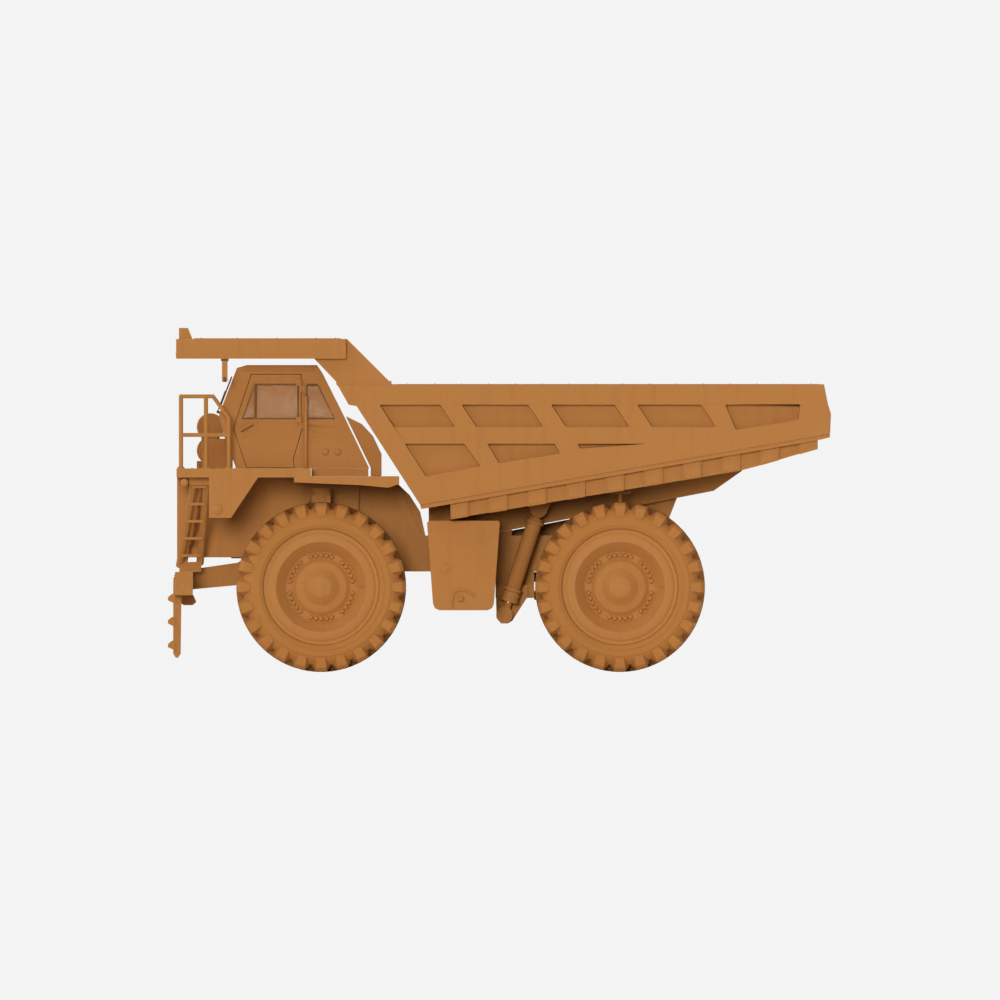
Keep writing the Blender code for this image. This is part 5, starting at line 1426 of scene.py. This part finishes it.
@dataclass
class Decks:
    """The decks, handrails, stairs and the boxes on the decks."""

    frame: dict
    palette: Palette
    strip_pitch: float = 0.13

    def build(self) -> None:
        """Builds the decks."""
        for side in Side:
            refined(self.frame, f"{side.word}_platform", self.palette.body, 0.010, 2)
            refined(self.frame, f"{side.word}_handrail", self.palette.body, 0.0)
            refined(self.frame, f"{side.word}_stair", self.palette.body, 0.005, 1)
            self.add_grip_strips(side)
            self.add_post_feet(side)
            self.add_fender_plugs(side)
        for box in ("battery_box", "air_cleaner", "retarder_cabinet", "equipment_cabinet"):
            refined(self.frame, box, self.palette.body, 0.010, 1)
        self.add_latches()
        self.add_cleaner_bands()

    def add_grip_strips(self, side: Side) -> None:
        """Adds the raised anti-slip strips on the open part of a deck's top."""
        shape = Shape()
        inner, outer = sorted((side.value * 2.30, side.value * 2.60))
        for index in range(14):
            x = -4.82 + self.strip_pitch * index
            shape.block((x - 0.012, x + 0.012), (inner, outer), (3.104, 3.116), 0.003)
        shape.done(f"{side.word}_grip_strips", self.palette.steel, "chassis", "bare_steel")

    def add_post_feet(self, side: Side) -> None:
        """Adds the bolted feet of the handrail's posts."""
        shape = Shape()
        y = side.value * 2.64
        for x in (-4.86, -4.479, -4.129):
            shape.block((x - 0.055, x + 0.055), (y - 0.050, y + 0.050), (3.104, 3.122), 0.004)
            for step in (-1, 1):
                shape.bolt((x + 0.040 * step, y - side.value * 0.034, 3.121), (0, 0, 1), 0.010)
        shape.done(f"{side.word}_post_feet", self.palette.body, "chassis", "body_paint")

    def add_fender_plugs(self, side: Side) -> None:
        """Adds the two round plugs on a fender panel."""
        shape = Shape()
        face = side.value * 2.698
        for x, z, radius in ((-4.807, 2.892, 0.058), (-4.305, 2.483, 0.085)):
            shape.turned(dome(radius, 0.028), (x, face, z), (x, face + side.value, z), 32)
        shape.done(f"{side.word}_fender_plugs", self.palette.body, "chassis", "body_paint")

    def add_latches(self) -> None:
        """Adds door seams, handles and hinges to the deck's cabinets."""
        shape = Shape()
        for node in ("retarder_cabinet", "equipment_cabinet", "battery_box"):
            low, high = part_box(node)
            middle = (low.z + high.z) / 2
            face = low.x
            for share in (0.27, 0.73):
                y = low.y + (high.y - low.y) * share
                reach = (high.y - low.y) * 0.20
                leaf = (low.z + 0.08, high.z - 0.08)
                shape.block((face - 0.012, face + 0.006), (y - reach, y + reach), leaf, 0.006)
                grip_x, grip_y = face - 0.035, y + reach * 0.7
                shape.bar((grip_x, grip_y, middle - 0.05), (grip_x, grip_y, middle + 0.05), 0.010)
                for z in (low.z + 0.16, high.z - 0.16):
                    shape.bar((face - 0.018, y - reach, z - 0.03), (face - 0.018, y - reach, z + 0.03), 0.012)
        shape.done("cabinet_doors", self.palette.body, "chassis", "body_paint")

    def add_cleaner_bands(self) -> None:
        """Adds the clamping bands round the air cleaner's canisters."""
        shape = Shape()
        for z in (3.38, 3.74):
            for y in (1.10, 1.55, 2.00):
                band = [(0.196, 0), (0.210, 0.004), (0.210, 0.036), (0.196, 0.040)]
                shape.turned(band, (-4.41, y, z), (-4.41, y + 1, z), 40, closed=True)
        shape.done("cleaner_bands", self.palette.steel, "chassis", "bare_steel")


@dataclass
class EngineBay:
    """The hood, grille, engine and gearbox."""

    frame: dict
    palette: Palette
    fins: int = 46

    def build(self) -> None:
        """Builds the engine bay."""
        refined(self.frame, "radiator_guard", self.palette.body, 0.006, 1)
        refined(self.frame, "engine_hood", self.palette.body, 0.006, 1)
        refined(self.frame, "engine_block", self.palette.engine, 0.020, 2)
        refined(self.frame, "transmission_case", self.palette.engine, 0.020, 2)
        refined(self.frame, "drive_shaft", self.palette.steel, 0.004, 1)
        self.add_core()
        self.add_lamps()

    def add_core(self) -> None:
        """Adds the radiator's core: tubes and fins behind the guard's bars."""
        shape = Shape()
        low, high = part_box("radiator_guard")
        y0, y1 = low.y + 0.14, high.y - 0.14
        z0, z1 = low.z + 0.14, high.z - 0.14
        shape.block((-4.757, -4.748), (y0, y1), (z0, z1), 0.0)
        pitch = (y1 - y0) / self.fins
        for index in range(self.fins):
            y = y0 + pitch * (index + 0.5)
            shape.block((-4.772, -4.750), (y - pitch * 0.22, y + pitch * 0.22), (z0, z1), 0.0)
        shape.done("radiator_core", self.palette.seal, "chassis", "engine_paint")

    def add_lamps(self) -> None:
        """Adds the headlamp clusters on the bumper's face."""
        shells, lenses = Shape(), Shape()
        for side in Side:
            for y in (1.20, 1.45):
                place = side.value * y
                shells.block((-4.972, -4.940), (place - 0.105, place + 0.105), (1.25, 1.45), 0.012)
                lenses.block((-4.978, -4.965), (place - 0.085, place + 0.085), (1.27, 1.43), 0.008)
        shells.done("headlamp_shells", self.palette.plastic, "chassis", "interior_plastic")
        lenses.done("headlamp_lenses", self.palette.lens, "chassis", "tinted_glass")


@dataclass
class Chassis:
    """The frame, axles, bumper, tanks and steering."""

    frame: dict
    palette: Palette

    def build(self) -> None:
        """Builds the chassis."""
        axles = ("rear_axle_housing", "left_knuckle", "right_knuckle", "tie_rod")
        for node in ("main_frame", "front_bumper", *axles):
            refined(self.frame, node, self.palette.frame, 0.006, 1)
        for node in ("fuel_tank", "hydraulic_tank"):
            refined(self.frame, node, self.palette.body, 0.014, 2)
        self.add_axle_bolts()
        self.add_bumper_bolts()
        self.add_tank_straps()
        self.add_tank_fittings()
        self.add_tower_plates()

    def add_axle_bolts(self) -> None:
        """Adds the ring of bolts on each end of the rear axle's centre housing."""
        shape = Shape()
        for side in Side:
            for step in range(16):
                turn = 2 * pi * step / 16
                spot = (1.84 + 0.47 * sin(turn), side.value * 0.90, 1.296 + 0.47 * cos(turn))
                shape.bolt(spot, (0, side.value, 0), 0.018)
        shape.done("axle_bolts", self.palette.steel, "chassis", "bare_steel")

    def add_bumper_bolts(self) -> None:
        """Adds the bumper's bolts in a row along its face."""
        shape = Shape()
        for side in Side:
            for y in (0.25, 0.55, 0.85, 1.70, 2.00, 2.20):
                shape.bolt((-4.951, side.value * y, 1.47), (-1, 0, 0), 0.016)
                shape.bolt((-4.951, side.value * y, 1.23), (-1, 0, 0), 0.016)
        shape.done("bumper_bolts", self.palette.steel, "chassis", "bare_steel")

    def add_tank_straps(self) -> None:
        """Adds the bolted brackets that hang the tanks on the frame's rails."""
        shape = Shape()
        for side in Side:
            for x in (-0.90, -0.20):
                inner, outer = sorted((side.value * 0.85, side.value * 1.41))
                shape.block((x - 0.06, x + 0.06), (inner, outer), (1.60, 1.76), 0.008)
                shape.bolt((x, side.value * 0.862, 1.82), (0, side.value, 0), 0.018)
        shape.done("tank_brackets", self.palette.frame, "chassis", "frame_paint")

    def add_tank_fittings(self) -> None:
        """Adds the fuel tank's filler cap, sight pipe and a domed fitting."""
        shape = Shape()
        face = -2.298
        cap = [(0.086, 0), (0.086, 0.016), (0.070, 0.020), (0.066, 0.010)]
        cap += [(0.050, 0.010), (0.046, 0.018), (0.02, 0.02)]
        shape.turned(cap, (-0.829, face, 1.590), (-0.829, face - 1, 1.590), 36)
        route = [(-0.720, 0.993), (-0.728, 1.080), (-0.715, 1.160), (-0.665, 1.235)]
        route += [(-0.590, 1.262), (-0.500, 1.240), (-0.380, 1.169)]
        shape.tube([(x, face - 0.014, z) for x, z in route], 0.018)
        shape.turned(dome(0.050, 0.045), (-0.587, face, 1.114), (-0.587, face - 1, 1.114), 24)
        shape.done("tank_fittings", self.palette.body, "chassis", "body_paint")

    def add_tower_plates(self) -> None:
        """Adds the closing plates behind the front struts' heads."""
        shape = Shape()
        for side in Side:
            inner, outer = sorted((side.value * 0.955, side.value * 0.965))
            shape.block((-3.02, -2.42), (inner, outer), (2.60, 2.965), 0.002)
        shape.done("strut_tower_plates", self.palette.frame, "chassis", "frame_paint")




# Stage


@dataclass
class Studio:
    """The pale floor and backdrop, the soft lamps and the camera."""

    floor_colour: Colour = (0.86, 0.85, 0.83)
    room_colour: Colour = (0.90, 0.90, 0.90)
    room_light: float = 0.30
    reach: float = 40.0
    thickness: float = 0.03
    view_width: float = 15.26
    view_middle: tuple[float, float] = (0.008, 2.625)
    distance: float = 20.0

    def build(self) -> None:
        """Sets the stage."""
        self.add_floor()
        self.add_world()
        self.add_lamps()
        self.add_camera()
        bpy.context.scene.view_settings.view_transform = "Standard"

    def pale(self) -> bpy.types.Material:
        """The floor's plain pale finish, which shows its own tone to the camera."""
        kit = MaterialKit("studio floor", 0.9, 0.0)
        grain = kit.group(grain_group(), Scale=3.0)
        duller = tuple(channel * 0.985 for channel in self.floor_colour)
        kit.colour(kit.mix(grain.outputs["Height"], self.floor_colour, duller))
        return kit.material

    def room_finish(self) -> bpy.types.Material:
        """The tone of the room behind the truck, for the floor's edges and underside."""
        kit = MaterialKit("studio room", 1.0, 0.0)
        kit.shader.inputs["Base Color"].default_value = (0, 0, 0, 1)
        kit.shader.inputs["Specular IOR Level"].default_value = 0.0
        kit.shader.inputs["Emission Color"].default_value = (*self.room_colour, 1)
        kit.shader.inputs["Emission Strength"].default_value = 1.0
        return kit.material

    def add_floor(self) -> None:
        """Adds the floor, a thin plate whose top is the ground."""
        shape = Shape()
        shape.block((-self.reach, self.reach), (-self.reach, self.reach), (-self.thickness, 0.0), 0.0)
        data = bpy.data.meshes.new("studio_floor")
        shape.mesh.to_mesh(data)
        shape.mesh.free()
        data.materials.append(self.pale())
        data.materials.append(self.room_finish())
        for face in data.polygons:
            face.material_index = 0 if face.normal.z > 0.5 else 1
        floor = bpy.data.objects.new("studio_floor", data)
        bpy.context.scene.collection.objects.link(floor)

    def add_world(self) -> None:
        """Adds the room's light, which is pale to the camera and low on the truck."""
        world = bpy.data.worlds.new("studio")
        bpy.context.scene.world = world
        world.use_nodes = True
        tree = world.node_tree
        background = tree.nodes["Background"]
        background.inputs["Color"].default_value = (*self.room_colour, 1)
        seen = tree.nodes.new("ShaderNodeLightPath")
        shown = calc(tree, "MAXIMUM", seen.outputs["Is Camera Ray"], seen.outputs["Is Transmission Ray"])
        strength = calc(tree, "MULTIPLY_ADD", shown, 1.0 - self.room_light)
        strength.node.inputs[2].default_value = self.room_light
        tree.links.new(strength, background.inputs["Strength"])

    def add_sun(self, name: str, place: Point, strength: float, spread_angle: float) -> None:
        """Adds one soft distant lamp.

        Args:
            name: The lamp's name.
            place: Where it shines from, as a direction out of the truck.
            strength: Its strength.
            spread_angle: How wide its disc looks, in degrees: a wide disc throws soft shadows.
        """
        lamp = bpy.data.lights.new(name, "SUN")
        lamp.energy = strength
        lamp.angle = radians(spread_angle)
        holder = bpy.data.objects.new(name, lamp)
        bpy.context.scene.collection.objects.link(holder)
        holder.location = Vector(place).normalized() * self.distance
        holder.rotation_euler = (-Vector(place)).to_track_quat("-Z", "Y").to_euler()

    def add_lamps(self) -> None:
        """Adds the frontal key, the upper left fill and two lamps for the hidden sides."""
        self.add_sun("key", (-0.10, -1.0, 0.12), 2.05, 14.0)
        self.add_sun("fill", (-0.80, -0.55, 0.90), 0.62, 30.0)
        self.add_sun("rear", (0.45, 1.0, 0.55), 1.75, 25.0)
        self.add_sun("front", (-1.0, 0.25, 0.45), 0.95, 30.0)

    def add_camera(self) -> None:
        """Adds the camera, square on to the cab side."""
        data = bpy.data.cameras.new("camera")
        data.type = "ORTHO"
        data.ortho_scale = self.view_width
        data.clip_end = 200.0
        camera = bpy.data.objects.new("camera", data)
        camera.location = (self.view_middle[0], -self.distance, self.view_middle[1])
        camera.rotation_euler = (pi / 2, 0, 0)
        bpy.context.scene.collection.objects.link(camera)
        bpy.context.scene.camera = camera


def main() -> None:
    """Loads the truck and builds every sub-assembly in order."""
    logging.basicConfig(level=logging.INFO, format="%(message)s")
    for item in list(bpy.data.objects):
        bpy.data.objects.remove(item)
    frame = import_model()
    palette = Palette()
    Studio().build()
    Wheels(palette).build()
    LoadBody(frame, palette).build()
    Hoists(frame, palette).build()
    Cab(frame, palette).build()
    Decks(frame, palette).build()
    EngineBay(frame, palette).build()
    Chassis(frame, palette).build()


if __name__ == "__main__":
    main()
